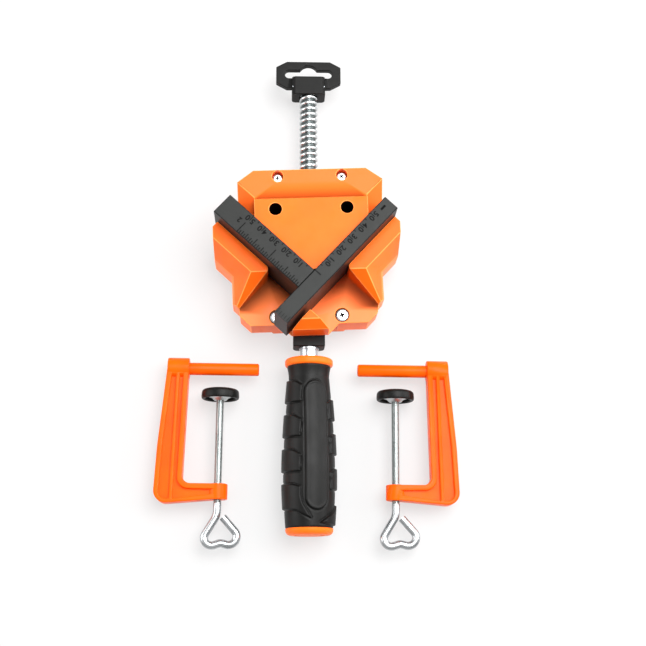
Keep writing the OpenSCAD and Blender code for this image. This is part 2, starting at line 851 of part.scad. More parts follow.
// The C of the frame, with a rounded heel outside and a fillet inside
module frame_outline() {
  heel = [-foot_x - spine_foot_w, -gape - arm_root_h];
  heel_round = heel + [corner_r, corner_r];
  inner = [-foot_x + 0.3, -gape];
  fillet = inner + [inner_r, inner_r];
  polygon([
    [-throat - spine_top_w, 0], [heel.x, heel_round.y], heel_round, [heel_round.x, heel.y],
    [0, -gape - arm_tip_h], [0, -gape], [fillet.x, -gape], inner, [inner.x, fillet.y], [-throat, 0]
  ]);
  translate(heel_round) circle(r = corner_r);
  difference() {
    translate(inner - [cut, cut]) square(inner_r + cut);
    translate(fillet) circle(r = inner_r);
  }
}

// The recesses in one face of the frame: two beside the spine's rib and one in the arm
module frame_recesses() {
  top = -peg_boss_d / 2 - 1.5;
  low = -gape + 1;
  rib_in = rim_w + 2.4;
  rib_out = rib_in + 2.6;
  polygon([
    [-throat - rim_w, top], [-foot_x - rim_w, low], [-foot_x - rib_in, low], [-throat - rib_in, top]
  ]);
  polygon([
    [-throat - rib_out, top], [-foot_x - rib_out, low],
    [-foot_x - spine_foot_w + rim_w, low], [-throat - spine_top_w + rim_w, top]
  ]);
  polygon([
    [2 - throat, -gape - rim_w], [-nut_boss_d / 2 - 1, -gape - rim_w],
    [-nut_boss_d / 2 - 1, -gape - arm_tip_h + rim_w], [2 - throat, -gape - arm_root_h + rim_w + 1.4]
  ]);
}

module clamp_frame() {
  low = clamp_z - frame_t / 2;
  color("#f0701c") difference() {
    union() {
      difference() {
        translate([0, 0, low]) linear_extrude(frame_t) frame_outline();
        for (z = [low - cut, low + frame_t - recess])
          translate([0, 0, z]) linear_extrude(recess + cut) frame_recesses();
      }
      along_peg(-boss_end, -throat, peg_boss_d);
      along_screw(-gape - arm_tip_h, -gape, nut_boss_d);
    }
    along_screw(-gape - arm_tip_h - cut, -gape + cut, screw_d + 2 * shaft_gap);
    along_peg(-boss_end + 1.5, -throat + cut, peg_d + 2 * seat_gap);
  }
}

module clamp_peg() {
  color("#f0701c") along_peg(-boss_end + 1.6, peg_len - throat, peg_d);
}

// A rod bent round its corners, drawn flat: straight runs joined by arcs
module bent_rod(points, radii, d) {
  last = len(points) - 1;
  dirs = [for (i = [0 : last - 1]) unit(points[i + 1] - points[i])];
  turns = [for (i = [0 : last]) i == 0 || i == last ? 0 : turn_of(dirs[i - 1], dirs[i])];
  trims = [for (i = [0 : last]) i == 0 || i == last ? 0 : radii[i] * tan(abs(turns[i]) / 2)];
  for (i = [0 : last - 1]) {
    head_lap = i == 0 ? 0 : bend_lap;
    tail_lap = i == last - 1 ? 0 : bend_lap;
    from = points[i] + dirs[i] * (trims[i] - head_lap);
    run = norm(points[i + 1] - points[i]) - trims[i] - trims[i + 1] + head_lap + tail_lap;
    translate(from) rotate([0, 90, atan2(dirs[i].y, dirs[i].x)]) cylinder(h = run, d = d);
  }
  for (i = [1 : last - 1]) {
    side = sign(turns[i]);
    u = dirs[i - 1];
    centre = points[i] - u * trims[i] + side * radii[i] * [-u.y, u.x];
    start = atan2(-side * u.x, side * u.y) - (side < 0 ? abs(turns[i]) : 0);
    translate(centre) rotate([0, 0, start]) rotate_extrude(angle = abs(turns[i]))
      translate([radii[i], 0]) circle(d = d - bend_thinning);
  }
}

// The screw and its heart-shaped loop are one bent rod
module clamp_screw() {
  foot = -loop_drop - loop_len;
  points = [
    [0, -screw_top], [0, -loop_drop], [-0.366 * loop_w, foot], [2.2, foot + 1.8],
    [0.634 * loop_w, foot + 0.4], [3.2, -loop_drop - 0.8]
  ];
  color("#c9ccd0") translate([0, 0, clamp_z]) bent_rod(points, [0, 8, 3.4, 6, 3.8, 0], screw_d);
}

// The steel swivel cup under the rubber cap, coned towards the screw
module pad_cup() {
  seat = -pad_top - cap_top_t;
  color("#d0d2d4") translate([0, 0, clamp_z]) rotate([-90, 0, 0]) difference() {
    union() {
      translate([0, 0, seat - cup_t]) cylinder(h = cup_t, d = cup_rim_d);
      translate([0, 0, seat - cup_t - cup_cone]) cylinder(h = cup_cone, d1 = screw_d + 3, d2 = cup_rim_d);
    }
    translate([0, 0, -screw_top - far]) cylinder(h = far + slide_gap, d = screw_d + 2 * shaft_gap);
  }
}

module pad_cap() {
  round = 1.4;
  r = pad_d / 2;
  color("#262626") translate([0, 0, clamp_z]) rotate([90, 0, 0]) rotate_extrude() difference() {
    translate([0, pad_top]) union() {
      translate([0, round]) square([r, pad_len - round]);
      square([r - round, pad_len]);
      translate([r - round, round]) circle(r = round);
    }
    translate([-cut, pad_top + cap_top_t]) square([cup_rim_d / 2 + seat_gap + cut, pad_len]);
    translate([-far, 0]) square([far, far]);
  }
}

module left_clamp_frame() { at_left_clamp() clamp_frame(); }
module left_clamp_peg() { at_left_clamp() clamp_peg(); }
module left_clamp_screw() { at_left_clamp() clamp_screw(); }
module left_pad_cup() { at_left_clamp() pad_cup(); }
module left_pad_cap() { at_left_clamp() pad_cap(); }
module right_clamp_frame() { at_right_clamp() mirror([1, 0, 0]) clamp_frame(); }
module right_clamp_peg() { at_right_clamp() mirror([1, 0, 0]) clamp_peg(); }
module right_clamp_screw() { at_right_clamp() clamp_screw(); }
module right_pad_cup() { at_right_clamp() pad_cup(); }
module right_pad_cap() { at_right_clamp() pad_cap(); }

base_casting();
foot_plate();
foot_screws();
pivot_pin();
thrust_block();
spindle();
thrust_washer();
retaining_ring();
handle_core();
handle_pin();
handle_grip();
end_cap();
hanger();
hanger_pin();
moving_jaw();
barrel_nut();
nut_keeper();
head_screws();
long_scale_bar();
short_scale_bar();
left_clamp_frame();
left_clamp_peg();
left_clamp_screw();
left_pad_cup();
left_pad_cap();
right_clamp_frame();
right_clamp_peg();
right_clamp_screw();
right_pad_cup();
right_pad_cap();
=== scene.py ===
"""The looks of a corner clamp with two graduated bars and a pair of bench clamps."""
import contextlib
import math

import bmesh
import bpy
import numpy as np
from mathutils import Matrix, Vector


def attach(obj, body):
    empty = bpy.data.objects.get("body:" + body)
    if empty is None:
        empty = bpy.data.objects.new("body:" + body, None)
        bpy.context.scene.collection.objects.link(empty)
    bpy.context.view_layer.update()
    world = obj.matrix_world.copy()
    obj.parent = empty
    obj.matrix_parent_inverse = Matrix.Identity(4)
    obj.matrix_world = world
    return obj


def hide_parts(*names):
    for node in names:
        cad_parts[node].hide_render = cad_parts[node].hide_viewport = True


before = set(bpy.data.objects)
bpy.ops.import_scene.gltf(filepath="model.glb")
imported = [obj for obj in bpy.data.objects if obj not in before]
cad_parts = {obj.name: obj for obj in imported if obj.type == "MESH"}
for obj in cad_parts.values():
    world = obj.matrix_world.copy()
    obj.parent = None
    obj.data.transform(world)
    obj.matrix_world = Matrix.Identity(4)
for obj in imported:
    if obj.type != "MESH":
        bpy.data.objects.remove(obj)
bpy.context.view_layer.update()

MM = 0.001

# Places and sizes that the solids have too
BAR_TOP = 61 * MM
BAR_GAP = 0.15 * MM
LONG_BAR_W = 10.6 * MM
LONG_BAR_END = -20.8 * MM
SHORT_BAR_W = 14.8 * MM
JAW_SHIFT = (SHORT_BAR_W - LONG_BAR_W) * math.sqrt(0.5)
JAW_TIP_Y = (SHORT_BAR_W + LONG_BAR_W + 4 * BAR_GAP) * math.sqrt(0.5)
NUT_AT = 57.6 * MM
SWING = math.atan(JAW_SHIFT / (JAW_TIP_Y + NUT_AT))
HEAD_TOP = 52 * MM
HEAD_SCREW_X = 20.1 * MM
HEAD_SCREW_Y = 63.8 * MM
HEAD_SCREW_R = 3.3 * MM
HEAD_SCREW_SINK = 5.8 * MM
HEAD_SCREW_LEN = 40.5 * MM
FLOOR_TOP = 27 * MM
FOOT_SCREW_X = 20.65 * MM
FOOT_SCREW_Y = -2.1 * MM
FOOT_SCREW_R = 4.1 * MM
FOOT_SCREW_SINK = 2.8 * MM
FOOT_SCREW_LEN = 22.5 * MM
SCREW_HEAD_H = 2.4 * MM
SHANK_R = 2 * MM
PLATE_TOP = 55 * MM
PLATE_HOLE_X = 22.2 * MM
PLATE_HOLE_Y = 41.3 * MM
PLATE_HOLE_R = 4 * MM

SPINDLE_Z = 17.8 * MM
THREAD_R = 6 * MM
THREAD_DEPTH = 1.25 * MM
THREAD_PITCH = 4 * MM
THREAD_FROM = 9.8 * MM
JOURNAL_R = 5.5 * MM
RING_GROOVE_R = 4.85 * MM
RING_GROOVE_FROM = -22.2 * MM
RING_GROOVE_TO = -21 * MM
TANG_R = 4.5 * MM
TANG_END = -112 * MM
SPINDLE_END = 160 * MM
HANGER_GROOVE_AT = SPINDLE_END - 4.6 * MM
HANGER_GROOVE_R = 4 * MM
HANDLE_START = 28.4 * MM
COLLAR_LEN = 4.9 * MM
COLLAR_R = 15.1 * MM
GRIP_START = HANDLE_START + COLLAR_LEN
GRIP_LEN = 100.3 * MM
GRIP_END = GRIP_START + GRIP_LEN
GRIP_BORE_R = 9.6 * MM
NECK_AT = GRIP_START + 0.07 * GRIP_LEN
BELLY_AT = GRIP_START + 0.69 * GRIP_LEN
MOUTH_R = 13.8 * MM
NECK_R = 12.7 * MM
BELLY_R = 16.1 * MM
HEEL_R = 14.7 * MM
PAD_RISE = 1.2 * MM
PAD_EDGE = 0.8 * MM
PANEL_EDGE = 0.9 * MM
PANEL_RIM = 1.6 * MM
PANEL_DISH = 0.22
MOAT_AT = 0.75 * MM
MOAT_W = 0.4 * MM
MOAT_DEPTH = 0.28
END_ROLL = 0.3 * MM
CORE_R = GRIP_BORE_R - 0.1 * MM
CORE_BORE_R = 4.6 * MM
CORE_END = GRIP_END - 4 * MM
COLLAR_ROUND = 1.6 * MM
CAP_LEN = 4.4 * MM
CAP_ROUND = 3 * MM
CAP_PLUG_R = 6.2 * MM
CAP_PLUG_FROM = GRIP_END - 3.6 * MM
GRIP_TURN = math.radians(16)
FIRST_PAD = GRIP_START + 0.09 * GRIP_LEN
PAD_PITCH = 0.215 * GRIP_LEN
PANEL_AT = GRIP_START + 0.5 * GRIP_LEN
PANEL_LEN = 0.79 * GRIP_LEN
PANEL_W = 14.4 * MM

# Outlines of the grip's relief: degrees from the middle of the top panel, millimetres along the handle
PAD = [(146, 0), (107, 0), (54, 1.9), (36, 4.5), (38, 14.5), (146, 13.9)]
SWEPT_PAD = [(146, 0), (107, 0), (54, 1.2), (37, 2.6), (37, 8), (33, 12), (25, 16), (14, 21),
             (48, 16.2), (107, 15.3), (146, 15.3)]
FLARE = [(146, 0), (73, 0), (10, 10.8), (73, 12), (146, 12)]

# Marks on the bars, with the length in millimetres of the inch ticks that come every so many sixteenths
MARK_T = 0.015 * MM
TICK_W = 0.5 * MM
BOLD_W = 0.6 * MM
DECADE = 10 * MM
NUMERAL_H = 5 * MM
SIXTEENTH = 25.4 * MM / 16
INCH_TICKS = {16: 7.59, 8: 4.83, 4: 3.565, 2: 2.875, 1: 2.185}

CLAMP_Z = 11.9 * MM
CLAMP_TURN = math.radians(-3)
CLAMP_AT = {"left": (-56.7 * MM, -31.3 * MM), "right": (53.6 * MM, -36.5 * MM)}
SCREW_R = 2.5 * MM
SCREW_TOP = 16.2 * MM
SCREW_PITCH = 0.8 * MM
SCREW_THREAD_DEPTH = 0.42 * MM
SCREW_THREAD_FROM = 17.4 * MM
SCREW_THREAD_TO = 85 * MM
TIP_R = 2 * MM
TIP_END = 18 * MM
LOOP_FROM = -84 * MM
LOOP_AT = 91.5 * MM
PEG_R = 3.9 * MM
PEG_FROM = -31.8 * MM
PEG_TO = 24 * MM
PAD_R = 11.9 * MM
PAD_TOP = 13.1 * MM
PAD_LEN_ON_SCREW = 6.1 * MM
PAD_SKIN = 2.2 * MM
CUP_R = 9.4 * MM
CUP_H = 4.8 * MM
CUP_BORE_R = 2.55 * MM
CUP_FLOOR = 0.7 * MM

# The rod's loop in millimetres: its corners from where it leaves the screw, and the radii of its bends
LOOP_CORNERS = [(-13.3, -22.2), (2.6, -16.8), (22.2, -21.9), (3.6, -1.1)]
LOOP_BENDS = [11, 4.6, 4.2, 5]

# The bench clamps' cast frame
THROAT = 20 * MM
FOOT_X = THROAT + 2 * MM
GAPE = 72.5 * MM
SPINE_TOP_W = 13.4 * MM
SPINE_FOOT_W = 17.6 * MM
SPINE_BOW = 0.9 * MM
ARM_TIP_H = 9.4 * MM
ARM_ROOT_H = 12.8 * MM
FRAME_T = 11.6 * MM
WEB_DEPTH = 2.4 * MM
RIM_W = 3.2 * MM
RIB_FROM = 5.4 * MM
RIB_TO = 7.6 * MM
PEG_BOSS_R = 6.8 * MM
PEG_BOSS_END = -33.4 * MM
NUT_BOSS_R = 6.1 * MM
BOSS_PROUD = 0.2 * MM
BOSS_EDGE = 0.8 * MM
BOW_AT = 0.58
BOW_ROUND = 90 * MM
HEEL_ROUND = 7.6 * MM
THROAT_ROUND = 5 * MM
CASTING_CORNER = 1.2 * MM
WEB_TOP = -2 * MM
WEB_END = -1.5 * MM
WEB_CORNER = 0.6 * MM
WEB_THROAT_ROUND = 7 * MM
WEB_HEEL_ROUND = 4.6 * MM

# One turn of a thread: shares of its depth above the root, and of its pitch along
THREAD_FORM = [(0, 0), (0, 0.16), (0.92, 0.34), (1, 0.42), (1, 0.58), (0.92, 0.66), (0, 0.84), (0, 1)]

# What counts as one corner, one plane, a sharp edge or a sliver where edges are rounded
SAME_CORNER = 0.004 * MM
SAME_PLANE = 0.0005
NEARLY_FLAT = math.radians(0.4)
SHARP_EDGE = math.radians(28)
SLIVER = 0.003 * MM

# Frames that pieces are modelled in: the spindle's, the handle's and the bench clamps'
ON_SPINDLE = (Matrix.Rotation(-SWING, 4, "Z") @ Matrix.Translation((0, 0, SPINDLE_Z))
              @ Matrix.Rotation(math.radians(-90), 4, "X"))
ON_HANDLE = (Matrix.Rotation(-SWING, 4, "Z") @ Matrix.Translation((0, 0, SPINDLE_Z))
             @ Matrix.Rotation(math.radians(90), 4, "X"))


def on_clamp(side):
    """The place of a bench clamp: X along its peg, Y along its screw."""
    return Matrix.Translation((*CLAMP_AT[side], CLAMP_Z)) @ Matrix.Rotation(CLAMP_TURN, 4, "Z")


def on_bar(side):
    """The place of a bar's top: X along it from the corner, Y across it from its outer face."""
    turn = Matrix.Rotation(math.radians(45 if side == "right" else 135), 4, "Z")
    flip = Matrix.Identity(4) if side == "right" else Matrix.Diagonal((1, -1, 1, 1))
    return Matrix.Translation((0, 0, BAR_TOP)) @ turn @ flip @ Matrix.Translation((0, BAR_GAP, 0))


class Signal:
    """A value inside a finish; arithmetic on it adds nodes."""

    def __init__(self, finish, socket):
        self.finish = finish
        self.socket = socket

    def math(self, operation, first, second):
        return self.finish.add("ShaderNodeMath", {"operation": operation}, {0: first, 1: second})

    def __add__(self, other):
        return self.math("ADD", self, other)

    def __radd__(self, other):
        return self.math("ADD", other, self)

    def __sub__(self, other):
        return self.math("SUBTRACT", self, other)

    def __rsub__(self, other):
        return self.math("SUBTRACT", other, self)

    def __mul__(self, other):
        return self.math("MULTIPLY", self, other)

    def __rmul__(self, other):
        return self.math("MULTIPLY", other, self)


class Finish:
    """A material built from nodes round one shader."""

    def __init__(self, name, constants=()):
        self.material = bpy.data.materials.new(name)
        self.material.use_nodes = True
        self.nodes = self.material.node_tree.nodes
        self.links = self.material.node_tree.links
        self.shader = self.nodes["Principled BSDF"]
        for socket, value in dict(constants).items():
            self.shader.inputs[socket].default_value = value

    def add(self, kind, settings=None, inputs=None, output=0):
        node = self.nodes.new(kind)
        for key, value in (settings or {}).items():
            setattr(node, key, value)
        for key, value in (inputs or {}).items():
            self.feed(node.inputs[key], value)
        return Signal(self, node.outputs[output])

    def feed(self, socket, value):
        if isinstance(value, Signal):
            self.links.new(value.socket, socket)
        else:
            socket.default_value = value

    def noise(self, grain, detail=3.0, stretch=(1, 1, 1), turn=0.0):
        """A cloudy pattern whose blotches are about one grain across."""
        place = self.add("ShaderNodeTexCoord", output=3)
        place = self.add("ShaderNodeMapping", None,
                         {"Vector": place, "Rotation": (0, 0, turn), "Scale": stretch})
        return self.add("ShaderNodeTexNoise", None,
                        {"Vector": place, "Scale": 1 / grain, "Detail": detail, "Roughness": 0.55})

    def blend(self, share, first, second):
        return self.add("ShaderNodeMix", {"data_type": "RGBA"}, {0: share, 6: first, 7: second}, 2)

    def ramp(self, share, low, high):
        return self.add("ShaderNodeMapRange", None, {0: share, 1: low, 2: high})

    def colour(self, value):
        self.feed(self.shader.inputs["Base Color"], value)

    def roughness(self, value):
        self.feed(self.shader.inputs["Roughness"], value)

    def height(self):
        spot = self.add("ShaderNodeTexCoord", output=3)
        return self.add("ShaderNodeSeparateXYZ", None, {0: spot}, 2)

    def from_axis(self, place, direction):
        """The distance from a line."""
        spot = self.add("ShaderNodeTexCoord", output=3)
        arm = self.add("ShaderNodeVectorMath", {"operation": "SUBTRACT"}, {0: spot, 1: place})
        across = self.add("ShaderNodeVectorMath", {"operation": "CROSS_PRODUCT"}, {0: arm, 1: direction})
        return self.add("ShaderNodeVectorMath", {"operation": "LENGTH"}, {0: across}, 1)

    def bump(self, height, strength, depth):
        relief = self.add("ShaderNodeBump", None,
                          {"Strength": strength, "Distance": depth, "Height": height})
        self.feed(self.shader.inputs["Normal"], relief)


class Surroundings(Finish):
    """The light that comes in from all round, built from nodes round one background."""

    def __init__(self, world):
        world.use_nodes = True
        self.nodes = world.node_tree.nodes
        self.links = world.node_tree.links
        self.shader = self.nodes["Background"]

    def upward(self):
        """How steeply a direction points up."""
        spot = self.add("ShaderNodeTexCoord", output=0)
        return self.add("ShaderNodeSeparateXYZ", None, {0: spot}, 2)


def rgb(red, green, blue):
    """A colour as it is read off a screen, made linear."""
    return tuple((c / 255 / 12.92 if c < 11 else ((c / 255 + 0.055) / 1.055) ** 2.4)
                 for c in (red, green, blue)) + (1,)


def powder_coat(name, bright, deep, gloss, peel, pale=None, level=0.0, shine=0.12):
    """Thick paint over a casting: soft mottling, fine peel and dull rubbed patches, and below a level a paler
    tint that is painted bounce light.
    """
    finish = Finish(name, {"Specular IOR Level": shine, "Coat Weight": 0.02, "Coat Roughness": 0.2})
    mottle = finish.ramp(finish.noise(22 * MM, 4), 0.35, 0.68)
    colour = finish.blend(mottle, deep, bright)
    if pale:
        # Painted bounce light: under the level the coat blends to the paler tint
        high = finish.ramp(finish.height() + 0.3 * MM * finish.noise(4 * MM), level, level + 0.6 * MM)
        colour = finish.blend(high, pale, colour)
    finish.colour(colour)
    rubbed = finish.ramp(finish.noise(7 * MM, 5), 0.52, 0.75)
    finish.roughness(gloss + 0.14 * rubbed)
    grain = finish.noise(0.9 * MM, 2) + 0.6 * finish.noise(3.5 * MM, 2)
    finish.bump(grain, peel, 0.12 * MM)
    return finish.material


def moulded_plastic(name, bright, deep, gloss):
    """Injection-moulded plastic with a fine spark-eroded grain."""
    finish = Finish(name, {"Specular IOR Level": 0.14})
    finish.colour(finish.blend(finish.noise(14 * MM), deep, bright))
    finish.roughness(gloss + 0.12 * finish.noise(4 * MM))
    finish.bump(finish.noise(0.35 * MM, 2), 0.25, 0.06 * MM)
    return finish.material


def soft_rubber(name, bright, deep, roughness, shine=0.25):
    """Rubber with a dusty bloom and a pebbled skin."""
    finish = Finish(name, {"Specular IOR Level": shine})
    bloom = finish.ramp(finish.noise(9 * MM, 5), 0.38, 0.72)
    finish.colour(finish.blend(bloom, deep, bright))
    finish.roughness(roughness + 0.12 * bloom)
    finish.bump(finish.noise(0.55 * MM, 2) + 0.5 * finish.noise(0.2 * MM, 1), 0.35, 0.08 * MM)
    return finish.material


def worked_metal(name, bright, deep, roughness, grain, stretch, turn=0.0):
    """Bare metal with fine tool lines drawn out along one direction, and slight stains."""
    finish = Finish(name, {"Metallic": 1.0})
    lines = finish.noise(grain, 3, stretch, turn)
    stain = finish.ramp(finish.noise(12 * MM, 5), 0.4, 0.75)
    finish.colour(finish.blend(stain * 0.6 + 0.4 * lines, deep, bright))
    finish.roughness(roughness + 0.16 * lines + 0.08 * stain)
    finish.bump(lines, 0.18, 0.03 * MM)
    return finish.material


def root_shaded_thread(name, bright, dark):
    """The spindle's thread: bright crests, and painted shade darkening the roots."""
    finish = Finish(name, {"Metallic": 1.0})
    depth = finish.from_axis((0, 0, SPINDLE_Z), (math.sin(SWING), math.cos(SWING), 0))
    # Painted shade: the colour darkens from the crests towards the roots
    crest = finish.ramp(depth + 0.5 * MM * finish.noise(2 * MM, 4),
                        THREAD_R - 0.8 * THREAD_DEPTH, THREAD_R + 0.2 * MM)
    finish.colour(finish.blend(crest, dark, bright))
    finish.roughness(0.34 - 0.14 * crest)
    finish.bump(finish.noise(0.4 * MM, 3), 0.15, 0.03 * MM)
    return finish.material


def black_oxide(name, bright, deep, turn, stretch):
    """Dark chemical finish over ground steel, with faint grinding lines along the bar."""
    finish = Finish(name, {"Metallic": 0.3, "Specular IOR Level": 0.22})
    lines = finish.noise(0.35 * MM, 3, stretch, turn)
    cloud = finish.ramp(finish.noise(10 * MM, 5), 0.38, 0.7)
    finish.colour(finish.blend(0.5 * lines + 0.5 * cloud, deep, bright))
    finish.roughness(0.4 + 0.14 * lines)
    finish.bump(lines, 0.15, 0.015 * MM)
    return finish.material


# The paler tints below FLOOR_TOP and HEAD_TOP are painted bounce light on the lower faces
BASE_COAT = powder_coat("base_coat", (0.9, 0.125, 0.004, 1), (0.84, 0.108, 0.003, 1), 0.42, 0.16,
                        (0.9, 0.19, 0.055, 1), FLOOR_TOP + 0.2 * MM)
HEAD_COAT = powder_coat("head_coat", (0.9, 0.13, 0.004, 1), (0.84, 0.115, 0.003, 1), 0.42, 0.16,
                        (0.9, 0.128, 0.016, 1), HEAD_TOP + 0.5 * MM)
# A lighter, yellower coat on the rounded edges: a painted highlight along the crests
EDGE_HIGHLIGHT = powder_coat("edge_highlight", (0.93, 0.3, 0.07, 1), (0.88, 0.24, 0.05, 1), 0.34, 0.1)
CLAMP_ENAMEL = powder_coat("clamp_enamel", (0.9, 0.098, 0.001, 1), (0.82, 0.08, 0.001, 1), 0.3, 0.22,
                           shine=0.07)
ORANGE_PLASTIC = moulded_plastic("orange_plastic", (0.9, 0.145, 0.008, 1), (0.84, 0.12, 0.005, 1), 0.34)
BLACK_PLASTIC = moulded_plastic("black_plastic", rgb(19, 19, 18), rgb(13, 13, 13), 0.42)
GRIP_RUBBER = soft_rubber("grip_rubber", rgb(17, 17, 16), rgb(11, 11, 10), 0.4, 0.16)
PAD_RUBBER = soft_rubber("pad_rubber", rgb(17, 17, 16), rgb(11, 11, 10), 0.36, 0.14)
TURNED_STEEL = worked_metal("turned_steel", rgb(205, 207, 210), rgb(160, 163, 167), 0.18, 0.5 * MM, (1, 6, 1))
THREAD_STEEL = root_shaded_thread("thread_steel", rgb(212, 216, 217), rgb(84, 90, 90))
ZINC_STEEL = worked_metal("zinc_steel", rgb(206, 208, 209), rgb(160, 163, 165), 0.18, 0.8 * MM, (1, 1, 1))
SCREW_STEEL = worked_metal("screw_steel", rgb(188, 193, 192), rgb(140, 146, 145), 0.2, 0.6 * MM, (1, 5, 1))
BAR_TURN = math.radians(45)
RIGHT_BAR_STEEL = black_oxide("right_bar_steel", rgb(34, 35, 34), rgb(28, 29, 28), BAR_TURN, (1, 0.05, 1))
LEFT_BAR_STEEL = black_oxide("left_bar_steel", rgb(34, 35, 34), rgb(28, 29, 28), BAR_TURN, (0.05, 1, 1))
# Bare steel for the plate's bores, made dark as painted shade deep inside the holes
BORE_SHADE = worked_metal("bore_shade", rgb(58, 48, 42), rgb(40, 32, 28), 0.5, 0.5 * MM, (1, 1, 5))
# Near-black lining for the screws' cross recesses: painted shade inside the recess
RECESS_SHADE = soft_rubber("recess_shade", rgb(26, 22, 20), rgb(14, 12, 11), 0.6, 0.1)
ENGRAVING = soft_rubber("engraving", rgb(12, 12, 12), rgb(8, 8, 8), 0.7, 0.08)
BRASS = worked_metal("turned_brass", rgb(205, 165, 88), rgb(160, 122, 58), 0.3, 0.5 * MM, (1, 1, 5))


def pick_up(piece):
    """Makes a piece the only one that operators act on."""
    bpy.ops.object.select_all(action="DESELECT")
    piece.select_set(True)
    bpy.context.view_layer.objects.active = piece
    return piece


@contextlib.contextmanager
def editing(piece):
    """Opens a piece for operators that act on the whole of it."""
    pick_up(piece)
    bpy.ops.object.mode_set(mode="EDIT")
    bpy.ops.mesh.select_all(action="SELECT")
    yield
    bpy.ops.object.mode_set(mode="OBJECT")


def apply(piece, kind, **settings):
    """Adds a modifier, sets it and applies it."""
    pick_up(piece)
    modifier = piece.modifiers.new(kind.title(), kind)
    for key, value in settings.items():
        setattr(modifier, key, value)
    bpy.ops.object.modifier_apply(modifier=modifier.name)
    return piece


def clean_up(piece, merge=0.002 * MM):
    """Joins doubled corners and points every face outwards."""
    with editing(piece):
        bpy.ops.mesh.remove_doubles(threshold=merge)
        bpy.ops.mesh.normals_make_consistent(inside=False)
    return piece


def reshape(piece, change):
    """Makes one change to a piece's edges and faces."""
    shape = bmesh.new()
    shape.from_mesh(piece.data)
    change(shape)
    shape.to_mesh(piece.data)
    shape.free()


def smooth(piece, angle=32):
    """Shades a piece as curved, apart from edges sharper than an angle in degrees."""
    pick_up(piece)
    bpy.ops.object.shade_smooth_by_angle(angle=math.radians(angle))
    return piece


def put(piece, place):
    """Moves a piece's mesh to its place, and leaves its object at the origin."""
    piece.data.transform(place)
    if place.determinant() < 0:
        piece.data.flip_normals()
    return piece


def joined(name, pieces):
    """Several pieces as one."""
    pick_up(pieces[0])
    for piece in pieces[1:]:
        piece.select_set(True)
    bpy.ops.object.join()
    pieces[0].name = name
    return pieces[0]


def twin(piece, name):
    """A copy with its own mesh."""
    copy = piece.copy()
    copy.data = piece.data.copy()
    copy.name = name
    bpy.context.collection.objects.link(copy)
    return copy


def dress(piece, finish, body, slot, *nodes):
    """Gives a piece its finish and its body, and hides the solids that it stands for."""
    if piece.data.materials:
        piece.data.materials[0] = finish
    else:
        piece.data.materials.append(finish)
    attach(piece, body)
    if nodes:
        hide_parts(*nodes)
    return piece


def line(name, points):
    """A chain of edges, extruded from one point to the next."""
    bpy.ops.object.select_all(action="DESELECT")
    bpy.ops.mesh.primitive_plane_add(size=MM)
    bpy.ops.object.mode_set(mode="EDIT")
    bpy.ops.mesh.merge(type="CENTER")
    bpy.ops.transform.translate(value=points[0])
    for here, there in zip(points, points[1:]):
        step = Vector(there) - Vector(here)
        bpy.ops.mesh.extrude_region_move(TRANSFORM_OT_translate={"value": step})
    bpy.ops.object.mode_set(mode="OBJECT")
    bpy.context.object.name = name
    return bpy.context.object


def turned(name, outline, steps=64):
    """A lathe piece from an outline of radius and height."""
    piece = line(name, [(radius, 0, height) for radius, height in outline])
    apply(piece, "SCREW", axis="Z", angle=math.tau, steps=steps, render_steps=steps,
          use_merge_vertices=True, merge_threshold=0.001 * MM)
    return smooth(clean_up(piece))


def slab(name, outline, low, high):
    """A flat plate with a given outline."""
    piece = line(name, [(x, y, low) for x, y in outline])
    with editing(piece):
        bpy.ops.mesh.remove_doubles(threshold=0.01 * MM)
        bpy.ops.mesh.edge_face_add()
        bpy.ops.mesh.extrude_region_move(TRANSFORM_OT_translate={"value": (0, 0, high - low)})
    return clean_up(piece)


def combine(piece, tool, operation):
    """Adds another shape to a piece or cuts it out, and uses it up."""
    apply(piece, "BOOLEAN", object=tool, operation=operation, solver="EXACT")
    bpy.data.objects.remove(tool)
    return piece


def cut_between(piece, low, high):
    """Cuts a piece off square at two heights and closes both ends."""
    with editing(piece):
        for height, above in ((low, False), (high, True)):
            bpy.ops.mesh.select_all(action="SELECT")
            bpy.ops.mesh.bisect(plane_co=(0, 0, height), plane_no=(0, 0, 1),
                                clear_outer=above, clear_inner=not above)
        bpy.ops.mesh.select_all(action="SELECT")
        bpy.ops.mesh.remove_doubles(threshold=0.001 * MM)
        bpy.ops.mesh.fill_holes(sides=0)
    return piece


def threaded(name, radius, depth, pitch, low, high, steps=40):
    """A right-handed screw thread between two heights."""
    root = radius - depth
    piece = line(name, [(root + rise * depth, 0, share * pitch) for rise, share in THREAD_FORM])
    turns = math.ceil((high - low) / pitch) + 3
    apply(piece, "SCREW", axis="Z", angle=math.tau, screw_offset=pitch, iterations=turns,
          steps=steps, render_steps=steps, use_merge_vertices=True, merge_threshold=0.001 * MM)
    # The odd share of a turn keeps both cuts off the rows of corners
    put(piece, Matrix.Translation((0, 0, low - 1.513 * pitch)))
    clean_up(piece)
    return smooth(clean_up(cut_between(piece, low, high)))


def weigh_edges(shape):
    """Marks the outer edges that are sharp enough to be rounded."""
    weight = shape.edges.layers.float.new("bevel_weight_edge")
    for edge in shape.edges:
        edge[weight] = float(edge.is_convex and edge.calc_face_angle(0) > SHARP_EDGE)


def flat_patches(shape):
    """Groups of faces that lie in one plane."""
    left = set(shape.faces)
    while left:
        patch, edge_of_patch = set(), [left.pop()]
        while edge_of_patch:
            face = edge_of_patch.pop()
            patch.add(face)
            for edge in face.edges:
                for other in edge.link_faces:
                    if other in left and edge.calc_face_angle(1) < SAME_PLANE:
                        left.remove(other)
                        edge_of_patch.append(other)
        if len(patch) > 1 or any(len(face.verts) > 4 for face in patch):
            yield patch


